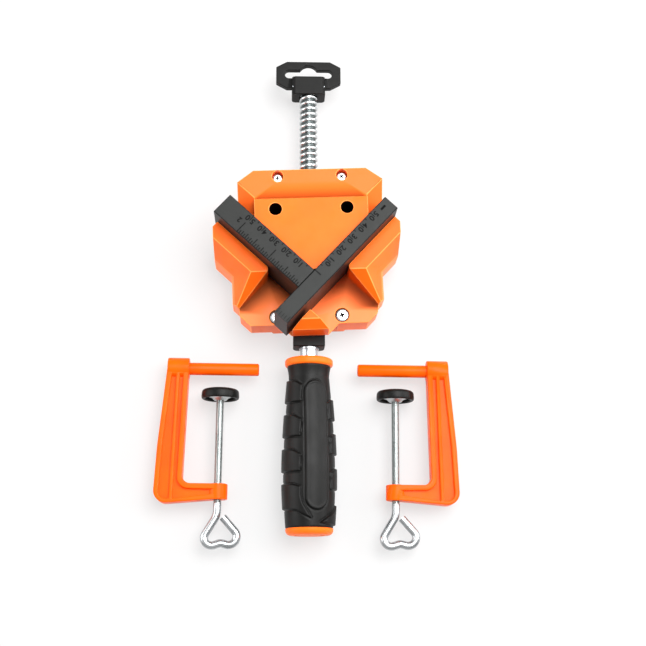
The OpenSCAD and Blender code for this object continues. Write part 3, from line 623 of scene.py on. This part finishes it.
def fill_anew(shape):
    """Fills each flat patch again from its border, holes and all."""
    for patch in list(flat_patches(shape)):
        normal = max(patch, key=lambda face: face.calc_area()).normal.copy()
        border = [edge for face in patch for edge in face.edges
                  if sum(other in patch for other in edge.link_faces) == 1]
        rims = [list(face.verts) for face in patch]
        bmesh.ops.delete(shape, geom=list(patch), context="FACES_ONLY")
        filled = bmesh.ops.triangle_fill(shape, edges=border, normal=normal,
                                         use_beauty=True, use_dissolve=False)
        fresh = [part for part in filled["geom"] if isinstance(part, bmesh.types.BMFace)]
        if any(len(edge.link_faces) != 2 for edge in border):
            bmesh.ops.delete(shape, geom=fresh, context="FACES_ONLY")
            for rim in rims:
                shape.faces.new(rim)
    loose = [edge for edge in shape.edges if not edge.link_faces]
    bmesh.ops.delete(shape, geom=loose, context="EDGES")


def rounded_over(piece, width, segments=3, edge_slot=-1):
    """Rounds the outer edges of a piece."""
    clean_up(piece, SAME_CORNER)
    with editing(piece):
        bpy.ops.mesh.dissolve_limited(angle_limit=NEARLY_FLAT)
    reshape(piece, weigh_edges)
    apply(piece, "BEVEL", width=width, segments=segments, limit_method="WEIGHT", use_clamp_overlap=False,
          miter_outer="MITER_ARC", material=edge_slot, face_strength_mode="FSTR_ALL")
    reshape(piece, fill_anew)
    clean_up(piece)
    with editing(piece):
        bpy.ops.mesh.dissolve_degenerate(threshold=SLIVER)
    return clean_up(piece)


def even_shading(piece, by_strength=True):
    """Lets flat faces stay flat beside rounded edges."""
    smooth(piece, 40)
    return apply(piece, "WEIGHTED_NORMAL", mode="FACE_AREA", weight=50, keep_sharp=True,
                 use_face_influence=by_strength)


def softened(node, name, width, edge_highlight_finish=None, segments=3):
    """A copy of a solid with its outer edges rounded over, as cast, moulded or broken edges are."""
    piece = twin(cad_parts[node], name)
    for key in list(piece.keys()):
        del piece[key]
    piece.parent = None
    piece.hide_viewport = piece.hide_render = False
    piece.hide_set(False)
    # A given edge finish lays a painted highlight on the rounded edges
    if edge_highlight_finish:
        piece.data.materials.append(edge_highlight_finish)
    rounded_over(piece, width, segments, 1 if edge_highlight_finish else -1)
    return even_shading(piece)


def rounded_path(corners, radii, step=math.radians(8)):
    """Points along straight runs joined by arcs."""
    points = [Vector(corners[0])]
    for before, corner, after, radius in zip(corners, corners[1:], corners[2:], radii):
        u = (Vector(corner) - Vector(before)).normalized()
        v = (Vector(after) - Vector(corner)).normalized()
        turn = u.angle_signed(v)
        trim = radius * math.tan(abs(turn) / 2)
        start = Vector(corner) - u * trim
        side = -math.copysign(1, turn)
        centre = start + Vector((-u.y, u.x)) * side * radius
        count = max(2, math.ceil(abs(turn) / step))
        for i in range(count + 1):
            spin = Matrix.Rotation(side * abs(turn) * i / count, 2)
            points.append(centre + spin @ (start - centre))
    points.append(Vector(corners[-1]))
    return points


def rod(name, points, radius):
    """A round rod along a path."""
    piece = pick_up(line(name, points))
    bpy.ops.object.convert(target="CURVE")
    piece.data.bevel_depth = radius
    piece.data.bevel_resolution = 6
    piece.data.use_fill_caps = True
    bpy.ops.object.convert(target="MESH")
    return smooth(clean_up(bpy.context.object), 50)


def box(name, low, high):
    """A block between two corners."""
    bpy.ops.object.select_all(action="DESELECT")
    centre = (Vector(low) + Vector(high)) / 2
    bpy.ops.mesh.primitive_cube_add(size=1, location=centre, scale=Vector(high) - Vector(low))
    bpy.ops.object.transform_apply(location=True, rotation=True, scale=True)
    bpy.context.object.name = name
    return bpy.context.object


def recess_arm(radius, turn):
    """One arm of a screw's cross recess: a slot that narrows towards its floor, lined with painted shade."""
    half_len, half_w = 0.6 * radius, 0.17 * radius
    slot = box("recess", (-half_len, -half_w, 0.3 * SCREW_HEAD_H), (half_len, half_w, 2 * SCREW_HEAD_H))
    slot.data.materials.append(RECESS_SHADE)
    with editing(slot):
        bpy.ops.mesh.select_all(action="DESELECT")
    for face in slot.data.polygons:
        face.select = face.normal.z < -0.5
    bpy.ops.object.mode_set(mode="EDIT")
    bpy.ops.transform.resize(value=(0.5, 0.7, 1))
    bpy.ops.object.mode_set(mode="OBJECT")
    return put(slot, Matrix.Rotation(math.radians(turn), 4, "Z"))


def cross_screw(name, radius, length):
    """A screw with a low round head and a tapered cross recess, its head standing at height 0."""
    h = SCREW_HEAD_H
    screw = turned(name, [
        (0, -length), (SHANK_R, -length), (SHANK_R, 0), (radius, 0), (radius, 0.72 * h),
        (0.97 * radius, 0.86 * h), (0.88 * radius, 0.95 * h), (0.6 * radius, h), (0, h)], 48)
    screw.data.materials.append(ZINC_STEEL)
    for turn in (0, 90):
        slot = recess_arm(radius, turn)
        apply(screw, "BOOLEAN", object=slot, operation="DIFFERENCE", solver="EXACT",
              material_mode="TRANSFER")
        bpy.data.objects.remove(slot)
    return smooth(clean_up(screw), 30)


def shaded_bores(piece):
    """Leaves the two holes in the moving jaw's plate as bare steel inside, darkened as painted shade."""
    piece.data.materials.append(BORE_SHADE)
    bore = len(piece.data.materials) - 1
    for face in piece.data.polygons:
        x = abs(face.center.x - JAW_SHIFT) - PLATE_HOLE_X
        y = face.center.y - JAW_TIP_Y - PLATE_HOLE_Y
        if math.hypot(x, y) < PLATE_HOLE_R + 0.1 * MM and face.center.z < PLATE_TOP - 0.5 * MM:
            face.material_index = bore


def main_castings():
    """The painted castings with a painted highlight along their rounded edges, the plain black pieces, and
    the pins inside.
    """
    body = softened("base_casting", "base_body", 0.4 * MM, EDGE_HIGHLIGHT)
    dress(body, BASE_COAT, "base", "orange_paint", "base_casting")
    foot = softened("foot_plate", "foot", 0.4 * MM, EDGE_HIGHLIGHT)
    dress(foot, BASE_COAT, "base", "orange_paint", "foot_plate")
    head = softened("moving_jaw", "jaw_head", 0.4 * MM, EDGE_HIGHLIGHT)
    dress(head, HEAD_COAT, "jaw", "orange_paint", "moving_jaw")
    shaded_bores(head)
    for node, name, edge, body in (("thrust_block", "swing_block", 0.6 * MM, "base"),
                                   ("nut_keeper", "keeper", 0.3 * MM, "jaw"),
                                   ("hanger", "hanger_plate", 0.5 * MM, "hanger")):
        dress(softened(node, name, edge), BLACK_PLASTIC, body, "black_plastic", node)
    for node, finish in (("pivot_pin", TURNED_STEEL), ("thrust_washer", TURNED_STEEL),
                         ("retaining_ring", TURNED_STEEL), ("handle_pin", TURNED_STEEL),
                         ("hanger_pin", TURNED_STEEL), ("barrel_nut", BRASS)):
        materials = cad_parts[node].data.materials
        materials.clear()
        materials.append(finish)


def cross_screws():
    """A pair of screws in the base and a pair in the moving jaw."""
    for name, radius, length, place, gap, turns, body in (
            ("foot_screw", FOOT_SCREW_R, FOOT_SCREW_LEN,
             (0, FOOT_SCREW_Y, FLOOR_TOP - FOOT_SCREW_SINK), FOOT_SCREW_X, (64, 20), "base"),
            ("head_screw", HEAD_SCREW_R, HEAD_SCREW_LEN,
             (JAW_SHIFT, JAW_TIP_Y + HEAD_SCREW_Y, HEAD_TOP - HEAD_SCREW_SINK),
             HEAD_SCREW_X, (10, 35), "jaw")):
        left = cross_screw(name, radius, length)
        right = twin(left, name)
        for piece, side, turn in ((left, -1, turns[0]), (right, 1, turns[1])):
            put(piece, Matrix.Translation(Vector(place) + Vector((side * gap, 0, 0)))
                @ Matrix.Rotation(math.radians(turn), 4, "Z"))
        dress(joined(name + "_pair", [left, right]), ZINC_STEEL, body, "bright_steel", name + "s")


def spindle_rod():
    """One turned rod: the tang inside the handle, the journal, the thread and the hanger's groove."""
    bevel, thread_core_r, tail_r = 0.3 * MM, 4.6 * MM, THREAD_R - 0.4 * MM
    thread = threaded("spindle_thread", THREAD_R, THREAD_DEPTH, THREAD_PITCH,
                      THREAD_FROM, HANGER_GROOVE_AT - 1.4 * MM)
    shank = turned("spindle_shank", [
        (0, TANG_END), (TANG_R, TANG_END), (TANG_R, -HANDLE_START), (JOURNAL_R - bevel, -HANDLE_START),
        (JOURNAL_R, -HANDLE_START + bevel), (JOURNAL_R, RING_GROOVE_FROM), (RING_GROOVE_R, RING_GROOVE_FROM),
        (RING_GROOVE_R, RING_GROOVE_TO), (JOURNAL_R, RING_GROOVE_TO), (JOURNAL_R, THREAD_FROM),
        (thread_core_r, THREAD_FROM + 0.5 * MM), (HANGER_GROOVE_R, HANGER_GROOVE_AT - 1.5 * MM),
        (HANGER_GROOVE_R, HANGER_GROOVE_AT + 1.3 * MM), (tail_r, HANGER_GROOVE_AT + 1.5 * MM),
        (tail_r, SPINDLE_END - MM), (tail_r - MM, SPINDLE_END), (0, SPINDLE_END)])
    shank.data.materials.append(TURNED_STEEL)
    thread.data.materials.append(THREAD_STEEL)
    piece = put(joined("spindle_rod", [shank, thread]), ON_SPINDLE)
    dress(piece, TURNED_STEEL, "spindle", "steel", "spindle")


def grip_radius(along):
    """The grip's ground radius at a distance along the handle."""
    mouth = 1 - np.sin(np.pi / 2 * np.clip((along - GRIP_START) / (NECK_AT - GRIP_START), 0, 1))
    rise = np.sin(np.pi / 2 * np.clip((along - NECK_AT) / (BELLY_AT - NECK_AT), 0, 1))
    fall = np.cos(np.pi / 2 * np.clip((along - BELLY_AT) / (GRIP_END - BELLY_AT), 0, 1))
    front = NECK_R + (MOUTH_R - NECK_R) * mouth + (BELLY_R - NECK_R) * rise
    return np.where(along < BELLY_AT, front, HEEL_R + (BELLY_R - HEEL_R) * fall)


def polygon_distance(x, y, corners):
    """The distance of points to a polygon's border, negative inside it."""
    nearest = np.full(x.shape, np.inf)
    inside = np.zeros(x.shape, bool)
    for (ax, ay), (bx, by) in zip(corners, corners[1:] + corners[:1]):
        dx, dy = bx - ax, by - ay
        share = np.clip(((x - ax) * dx + (y - ay) * dy) / (dx * dx + dy * dy), 0, 1)
        nearest = np.minimum(nearest, np.hypot(x - ax - share * dx, y - ay - share * dy))
        if dy:
            inside ^= ((ay > y) != (by > y)) & (x < ax + (y - ay) * dx / dy)
    return np.where(inside, -nearest, nearest)


def on_skin(outline, start):
    """An outline laid on the grip: the arc from the panel's middle, and the distance along."""
    points = []
    for angle, distance in outline:
        along = start + distance * MM
        points.append((math.radians(angle) * (float(grip_radius(along)) + PAD_RISE), along))
    return points


def raised(distance, edge):
    """1 inside a raised shape and 0 outside, with a rolled edge, from the distance to its border."""
    share = np.clip(0.5 - distance / edge, 0, 1)
    return share * share * (3 - 2 * share)


def flank_shapes():
    """The raised shapes of the grip's two flanks: the side, the outline and where it starts."""
    for i in range(3):
        yield -1, PAD, FIRST_PAD + i * PAD_PITCH
        yield 1, PAD, FIRST_PAD + (i + 0.5) * PAD_PITCH
    yield -1, SWEPT_PAD, FIRST_PAD + 3 * PAD_PITCH
    yield 1, FLARE, FIRST_PAD + 3.6 * PAD_PITCH


def grip_relief(around, along):
    """How far the grip's skin stands up, in shares of the pads' height, with a moat round each shape."""
    crest = grip_radius(along) + PAD_RISE
    arc = np.abs(around) * crest
    border = np.full(len(along), 1.0)
    for side, shape, start in flank_shapes():
        here = polygon_distance(arc, along, on_skin(shape, start))
        border = np.where(side * around > 0, np.minimum(border, here), border)
    up = raised(border - 0.1 * MM, PAD_EDGE)
    for facing in (0, np.pi):
        across = crest * np.sin(around - facing)
        length = np.maximum(np.abs(along - PANEL_AT) - PANEL_LEN / 2 + PANEL_W / 2, 0)
        rim = np.where(np.cos(around - facing) > 0, np.hypot(across, length) - PANEL_W / 2, 1.0)
        up = np.maximum(up, raised(rim, PANEL_EDGE) - PANEL_DISH * raised(rim + PANEL_RIM, PANEL_EDGE))
        border = np.minimum(border, rim)
    return up - MOAT_DEPTH * np.exp(-((border - MOAT_AT) / MOAT_W) ** 2)


def handle_grip():
    """The grip is a lathe piece whose pads and panels are pushed up out of its skin."""
    rows, sides = 300, 256
    stations = np.linspace(GRIP_START, GRIP_END, rows)
    outline = [(GRIP_BORE_R, GRIP_START)] + [(float(grip_radius(a)), float(a)) for a in stations]
    outline += [(GRIP_BORE_R, GRIP_END), (GRIP_BORE_R, GRIP_START)]
    piece = turned("grip", outline, sides)
    co = np.empty(len(piece.data.vertices) * 3)
    piece.data.vertices.foreach_get("co", co)
    co = co.reshape(-1, 3)
    x, y, along = co[:, 0], co[:, 1], co[:, 2]
    radius = np.hypot(x, y)
    around = np.arctan2(x, y) - GRIP_TURN
    around = (around + np.pi) % (2 * np.pi) - np.pi
    from_end = np.minimum(along - GRIP_START, GRIP_END - along)
    rolled = END_ROLL * np.clip(1 - from_end / MM, 0, 1) ** 2
    skin_r = grip_radius(along) + PAD_RISE * grip_relief(around, along) - rolled
    outside = radius > GRIP_BORE_R + 0.5 * MM
    scale = np.where(outside, skin_r / np.maximum(radius, MM), 1)
    co[:, 0] *= scale
    co[:, 1] *= scale
    piece.data.vertices.foreach_set("co", co.ravel())
    piece.data.update()
    smooth(put(piece, ON_HANDLE), 60)
    dress(piece, GRIP_RUBBER, "spindle", "grip_rubber", "handle_grip")


def handle_ends():
    """The orange collar with the core behind it, and the orange cap with a groove round its middle."""
    arc = [(math.cos(t), math.sin(t)) for t in np.radians(np.linspace(0, 90, 7))]
    soft = COLLAR_ROUND
    mouth, near, far = HANDLE_START + 0.4 * MM, HANDLE_START + soft, GRIP_START - soft
    outline = [(CORE_BORE_R, mouth), (8 * MM, mouth), (8.4 * MM, HANDLE_START)]
    outline += [(COLLAR_R - soft + soft * c, near - soft * s) for c, s in reversed(arc)]
    outline += [(COLLAR_R - soft + soft * c, far + soft * s) for c, s in arc]
    outline += [(CORE_R, GRIP_START), (CORE_R, CORE_END), (CORE_BORE_R, CORE_END), (CORE_BORE_R, mouth)]
    core = put(turned("collar_and_core", outline, 96), ON_HANDLE)
    dress(core, ORANGE_PLASTIC, "spindle", "orange_plastic", "handle_core")

    soft, end = CAP_ROUND, GRIP_END + CAP_LEN
    rim, groove = end - 0.1 * MM, end - 0.7 * MM
    outline = [(0, CAP_PLUG_FROM), (CAP_PLUG_R, CAP_PLUG_FROM), (CAP_PLUG_R, GRIP_END),
               (HEEL_R - 0.4 * MM, GRIP_END), (HEEL_R, GRIP_END + 0.4 * MM)]
    outline += [(HEEL_R - soft + soft * c, end - soft + soft * s - 0.2 * MM) for c, s in arc]
    outline += [(9.4 * MM, rim), (9 * MM, groove), (8.4 * MM, groove), (8 * MM, rim), (0, end)]
    cap = put(turned("heel_cap", outline, 96), ON_HANDLE)
    dress(cap, ORANGE_PLASTIC, "spindle", "orange_plastic", "end_cap")


def numeral(text, size, along, across, side):
    """A number lying flat on a bar, its foot towards the bar's inner edge."""
    bpy.ops.object.select_all(action="DESELECT")
    bpy.ops.object.text_add()
    words = bpy.context.object
    words.data.body = text
    words.data.size = size
    words.data.align_x = "CENTER"
    words.data.align_y = "CENTER"
    words.data.extrude = 0.01 * MM
    words.data.offset = 0.12 * MM
    words.data.resolution_u = 4
    bpy.ops.object.convert(target="MESH")
    place = Matrix.Translation((along, across, 0)) @ Matrix.Rotation(math.radians(180), 4, "Z")
    if side == "left":
        place = place @ Matrix.Diagonal((-1, 1, 1, 1))
    return put(clean_up(bpy.context.object), place)


def mark(along, across, length, width):
    """One engraved line across a bar, from a distance inside its outer face."""
    return box("mark", (along - width / 2, across, 0), (along + width / 2, across + length, MARK_T))


def bar_marks(name, side, bar_w, zero, extra):
    """Millimetre numerals astride their ticks along the inner edge, and the other marks of one bar."""
    decade_in, half_in, numeral_in = bar_w - 4.2 * MM, bar_w - 2 * MM, bar_w - 3.3 * MM
    pieces = []
    for tens in range(1, 6):
        along = zero + tens * DECADE
        pieces.append(mark(along, decade_in, 3.6 * MM, TICK_W))
        pieces.append(mark(along - DECADE / 2, half_in, 1.5 * MM, TICK_W))
        pieces.append(numeral(f"{tens} 0", NUMERAL_H, along, numeral_in, side))
    return put(joined(name, pieces + extra), on_bar(side))


def long_bar_marks():
    """The long bar also has a bold zero line, a dash past its numerals and ticks across its near end."""
    zero = SHORT_BAR_W + 2 * BAR_GAP
    extra = [mark(zero, LONG_BAR_W - 5 * MM, 4.6 * MM, BOLD_W),
             box("dash", (zero + 56 * MM, LONG_BAR_W - 4.6 * MM, 0),
                 (zero + 60 * MM, LONG_BAR_W - 3.2 * MM, MARK_T))]
    start, half_w = LONG_BAR_END + 0.5 * MM, 0.2 * MM
    for i in range(5):
        across = LONG_BAR_W * (0.12 + 0.19 * i)
        end = LONG_BAR_END + (4.2 if i in (0, 4) else 3.4) * MM
        extra.append(box("mark", (start, across - half_w, 0), (end, across + half_w, MARK_T)))
    return bar_marks("long_bar_marks", "right", LONG_BAR_W, zero, extra)


def inch_tick(sixteenths):
    """The length of an inch tick, longer on coarser divisions."""
    return next(length * MM for division, length in INCH_TICKS.items() if sixteenths % division == 0)


def short_bar_marks():
    """The short bar also has two inches of fine ticks along its outer edge."""
    zero = LONG_BAR_W + 2 * BAR_GAP
    extra = [mark(zero + i * SIXTEENTH, 0.4 * MM, inch_tick(i), BOLD_W) for i in range(1, 33)]
    extra.append(numeral("2", 4.6 * MM, zero + 32 * SIXTEENTH + 4 * MM, 7 * MM, "left"))
    return bar_marks("short_bar_marks", "left", SHORT_BAR_W, zero, extra)


def scale_bars():
    """The two dark bars and the marks on their tops."""
    for node, name, body, finish in (("long_scale_bar", "long_bar_steel", "long_bar", RIGHT_BAR_STEEL),
                                     ("short_scale_bar", "short_bar_steel", "short_bar", LEFT_BAR_STEEL)):
        dress(softened(node, name, 0.12 * MM, segments=2), finish, body, "dark_steel", node)
    dress(long_bar_marks(), ENGRAVING, "long_bar", "dark_steel")
    dress(short_bar_marks(), ENGRAVING, "short_bar", "dark_steel")


def casting_outlines():
    """The outlines of a left-hand C frame and of the two sunk webs on either side of its rib."""
    arm_low, heel_low = -GAPE - ARM_TIP_H, -GAPE - ARM_ROOT_H
    spine_out, heel_out = -THROAT - SPINE_TOP_W, -FOOT_X - SPINE_FOOT_W
    bow = ((1 - BOW_AT) * spine_out + BOW_AT * heel_out - SPINE_BOW, BOW_AT * heel_low)
    top = (-THROAT - 6 * MM, 0)
    frame_edge = rounded_path(
        [top, (-THROAT, 0), (-FOOT_X, -GAPE), (0, -GAPE), (0, arm_low), (heel_out, heel_low), bow,
         (spine_out, 0), top],
        [CASTING_CORNER, THROAT_ROUND, CASTING_CORNER, CASTING_CORNER, HEEL_ROUND, BOW_ROUND, CASTING_CORNER])
    web_low = heel_low + RIM_W
    mouth = (WEB_END, -GAPE - 0.5 * ARM_TIP_H)
    inner_web = rounded_path(
        [mouth, (WEB_END, -GAPE - RIM_W - 0.3 * MM), (-FOOT_X - RIM_W, -GAPE - RIM_W),
         (-THROAT - RIM_W, WEB_TOP), (-THROAT - RIB_FROM, WEB_TOP), (-FOOT_X - RIB_FROM, web_low),
         (WEB_END, arm_low + RIM_W), mouth],
        [WEB_CORNER, WEB_THROAT_ROUND] + 4 * [WEB_CORNER])
    crown = (-THROAT - RIB_TO - MM, WEB_TOP)
    outer_web = rounded_path(
        [crown, (-THROAT - RIB_TO, WEB_TOP), (-FOOT_X - RIB_TO, web_low), (heel_out + RIM_W, web_low),
         (bow[0] + RIM_W, bow[1]), (spine_out + RIM_W, WEB_TOP), crown],
        [WEB_CORNER, WEB_CORNER, WEB_HEEL_ROUND, BOW_ROUND, WEB_CORNER])
    return frame_edge, inner_web, outer_web


def boss(radius, low, high):
    """A round boss with softened rims."""
    edge, nick = BOSS_EDGE, 0.25 * BOSS_EDGE
    return turned("boss", [
        (0, low), (radius - edge, low), (radius - nick, low + nick), (radius, low + edge),
        (radius, high - edge), (radius - nick, high - nick), (radius - edge, high), (0, high)], 64)


def clamp_casting(name):
    """A left-hand C frame: rims and a rib round two sunk webs, a boss for the peg and one for the screw."""
    half_t, past = FRAME_T / 2, 2 * MM
    frame_edge, *webs = casting_outlines()
    casting = slab(name, frame_edge, -half_t, half_t)
    for web in webs:
        combine(casting, slab("web", web, half_t - WEB_DEPTH, half_t + past), "DIFFERENCE")
        combine(casting, slab("web", web, -half_t - past, WEB_DEPTH - half_t), "DIFFERENCE")
    rounded_over(casting, 0.6 * MM)

    arm_low = -GAPE - ARM_TIP_H
    along_peg = Matrix.Rotation(math.radians(90), 4, "Y")
    along_screw = Matrix.Rotation(math.radians(-90), 4, "X")
    for radius, low, high, turn in ((PEG_BOSS_R, PEG_BOSS_END, -THROAT + BOSS_PROUD, along_peg),
                                    (NUT_BOSS_R, arm_low - BOSS_PROUD, -GAPE + BOSS_PROUD, along_screw)):
        combine(casting, put(boss(radius, low, high), turn), "UNION")
    for radius, low, high, turn in ((PEG_R + 0.05 * MM, PEG_FROM - 0.1 * MM, -THROAT + past, along_peg),
                                    (SCREW_R + 0.2 * MM, arm_low - past, -GAPE + past, along_screw)):
        bore = turned("bore", [(0, low), (radius, low), (radius, high), (0, high)], 48)
        combine(casting, put(bore, turn), "DIFFERENCE")
    return even_shading(clean_up(casting, 0.01 * MM), by_strength=False)


def bent_screw(side, place):
    """A bench clamp's screw: its thread, the tip that holds the pad, and the rod bent into a loop."""
    corners = [(0, LOOP_FROM), (0, -LOOP_AT)] + [(x * MM, y * MM - LOOP_AT) for x, y in LOOP_CORNERS]
    path = rounded_path(corners, [bend * MM for bend in LOOP_BENDS])
    loop = rod(side + "_loop", [(p.x, p.y, 0) for p in path], SCREW_R)
    thread = threaded("thread", SCREW_R, SCREW_THREAD_DEPTH, SCREW_PITCH,
                      SCREW_THREAD_FROM, SCREW_THREAD_TO, 24)
    tip = turned("tip", [(0, SCREW_TOP), (TIP_R - 0.3 * MM, SCREW_TOP), (TIP_R, SCREW_TOP + 0.4 * MM),
                         (TIP_R, TIP_END), (0, TIP_END)], 32)
    thread.data.materials.append(SCREW_STEEL)
    stem = put(joined("stem", [thread, tip]), Matrix.Rotation(math.radians(90), 4, "X"))
    loop.data.materials.append(ZINC_STEEL)
    screw = put(joined(side + "_screw_and_loop", [loop, stem]), place)
    dress(screw, ZINC_STEEL, side + "_screw", "bright_steel", side + "_clamp_screw")


def swivel_pad(side, place):
    """A bench clamp's pad: a rubber cover over a steel cup."""
    body = side + "_pad"
    facing = place @ Matrix.Rotation(math.radians(90), 4, "X")
    end, seat = PAD_TOP + PAD_LEN_ON_SCREW, PAD_TOP + PAD_SKIN
    cover = turned(side + "_pad_cover", [
        (0, PAD_TOP), (PAD_R - 2.2 * MM, PAD_TOP), (PAD_R - 1.2 * MM, PAD_TOP + 0.3 * MM),
        (PAD_R - 0.4 * MM, PAD_TOP + 1.1 * MM), (PAD_R - 0.15 * MM, PAD_TOP + 2 * MM),
        (PAD_R, end - 1.6 * MM), (PAD_R - 0.2 * MM, end - 0.5 * MM), (PAD_R - 0.8 * MM, end),
        (CUP_R + 0.9 * MM, end), (CUP_R + 0.1 * MM, end - 0.7 * MM), (CUP_R + 0.1 * MM, seat), (0, seat)], 72)
    dress(put(cover, facing), PAD_RUBBER, body, "pad_rubber", side + "_pad_cap")
    under, floor, top = seat + 0.02 * MM, seat + CUP_FLOOR, seat + CUP_H
    cup = turned(side + "_cup", [
        (CUP_BORE_R, floor), (CUP_BORE_R, top), (3.6 * MM, top), (4.2 * MM, top - 0.5 * MM),
        (5.2 * MM, top - 1.6 * MM), (8.6 * MM, top - 2.8 * MM), (CUP_R - 0.1 * MM, top - 3.2 * MM),
        (CUP_R, top - 3.6 * MM), (CUP_R, under), (1.5 * MM, under), (1.5 * MM, floor),
        (CUP_BORE_R, floor)], 64)
    dress(put(cup, facing), ZINC_STEEL, body, "bright_steel", side + "_pad_cup")


def bench_clamp(side, casting):
    """The pieces of one bench clamp, round its cast frame."""
    place = on_clamp(side)
    away = 1 if side == "left" else -1
    body = put(twin(casting, side + "_frame"), place @ Matrix.Diagonal((away, 1, 1, 1)))
    dress(body, CLAMP_ENAMEL, side + "_clamp", "clamp_paint", side + "_clamp_frame")
    along_peg = place @ Matrix.Rotation(math.radians(90 * away), 4, "Y")
    peg = turned(side + "_peg", [
        (0, PEG_FROM), (PEG_R, PEG_FROM), (PEG_R, PEG_TO - 0.9 * MM),
        (PEG_R - 0.25 * MM, PEG_TO - 0.35 * MM), (PEG_R - 0.9 * MM, PEG_TO), (0, PEG_TO)], 48)
    dress(put(peg, along_peg), CLAMP_ENAMEL, side + "_clamp", "clamp_paint", side + "_clamp_peg")
    bent_screw(side, place)
    swivel_pad(side, place)


def pale_floor():
    """The bench: nearly white where it is seen, and with the pieces' shadows."""
    bpy.ops.object.select_all(action="DESELECT")
    bpy.ops.mesh.primitive_plane_add(size=12, location=(0, 0, -0.3 * MM))
    floor = bpy.context.object
    floor.name = "floor"
    finish = Finish("pale_floor", {"Roughness": 0.9})
    finish.colour((0.93, 0.93, 0.93, 1))
    seen = finish.add("ShaderNodeLightPath")
    glossy = Signal(finish, seen.socket.node.outputs["Is Glossy Ray"])
    through = Signal(finish, seen.socket.node.outputs["Is Transmission Ray"])
    share = 0.8 * (seen + glossy + through)
    white = finish.add("ShaderNodeEmission", None, {"Color": (0.78, 0.78, 0.78, 1), "Strength": 1.0})
    mixed = finish.add("ShaderNodeMixShader", None, {0: share, 2: white})
    finish.links.new(finish.shader.outputs[0], mixed.socket.node.inputs[1])
    finish.links.new(mixed.socket, finish.nodes["Material Output"].inputs[0])
    floor.data.materials.append(finish.material)


def room_light():
    """A pale room with a dim band along its horizon, which draws dark edges on bright metal."""
    world = bpy.data.worlds.new("studio")
    bpy.context.scene.world = world
    room = Surroundings(world)
    bright = room.ramp(room.upward(), 0.12, 0.42)
    shade = room.blend(bright, (0.1, 0.1, 0.1, 1), (0.66, 0.66, 0.66, 1))
    seen = room.add("ShaderNodeLightPath")
    room.feed(room.shader.inputs["Color"], room.blend(seen, shade, (1, 1, 1, 1)))


def lamps():
    """A soft overhead light and a fill on each side."""
    middle = Vector((0, 0.02, 0.02))
    for name, place, size, power in (("overhead", (0.3, 0.25, 1.15), 0.9, 24),
                                     ("right_fill", (1.0, 0.15, 0.45), 0.7, 9),
                                     ("left_fill", (-1.0, 0.1, 0.4), 0.7, 6.5)):
        lamp = bpy.data.objects.new(name, bpy.data.lights.new(name, "AREA"))
        lamp.data.size = size
        lamp.data.energy = power
        lamp.location = place
        lamp.rotation_euler = (middle - Vector(place)).to_track_quat("-Z", "Y").to_euler()
        bpy.context.collection.objects.link(lamp)


def viewpoint():
    """The camera, high over the bench where the photograph was taken."""
    pitch, yaw, roll = math.radians(76.08), math.radians(11.73), math.radians(-9.49)
    focal_px, frame_px, sensor = 1197.61, 646, 36
    offset = Vector((-7.31, 14.58, -720.73)) * MM
    turn = (Matrix.Rotation(-yaw, 3, "Z") @ Matrix.Rotation(math.pi / 2 - pitch, 3, "X")
            @ Matrix.Rotation(-roll, 3, "Z"))
    camera = bpy.data.objects.new("camera", bpy.data.cameras.new("camera"))
    camera.data.sensor_width = sensor
    camera.data.lens = sensor * focal_px / frame_px
    camera.matrix_world = Matrix.Translation(Vector((0, 0, BAR_TOP)) - turn @ offset) @ turn.to_4x4()
    bpy.context.collection.objects.link(camera)
    bpy.context.scene.camera = camera
    bpy.context.scene.view_settings.view_transform = "Standard"


main_castings()
cross_screws()
spindle_rod()
handle_grip()
handle_ends()
scale_bars()
clamp_frame = clamp_casting("clamp_frame")
for clamp_side in CLAMP_AT:
    bench_clamp(clamp_side, clamp_frame)
bpy.data.objects.remove(clamp_frame)
pale_floor()
room_light()
lamps()
viewpoint()
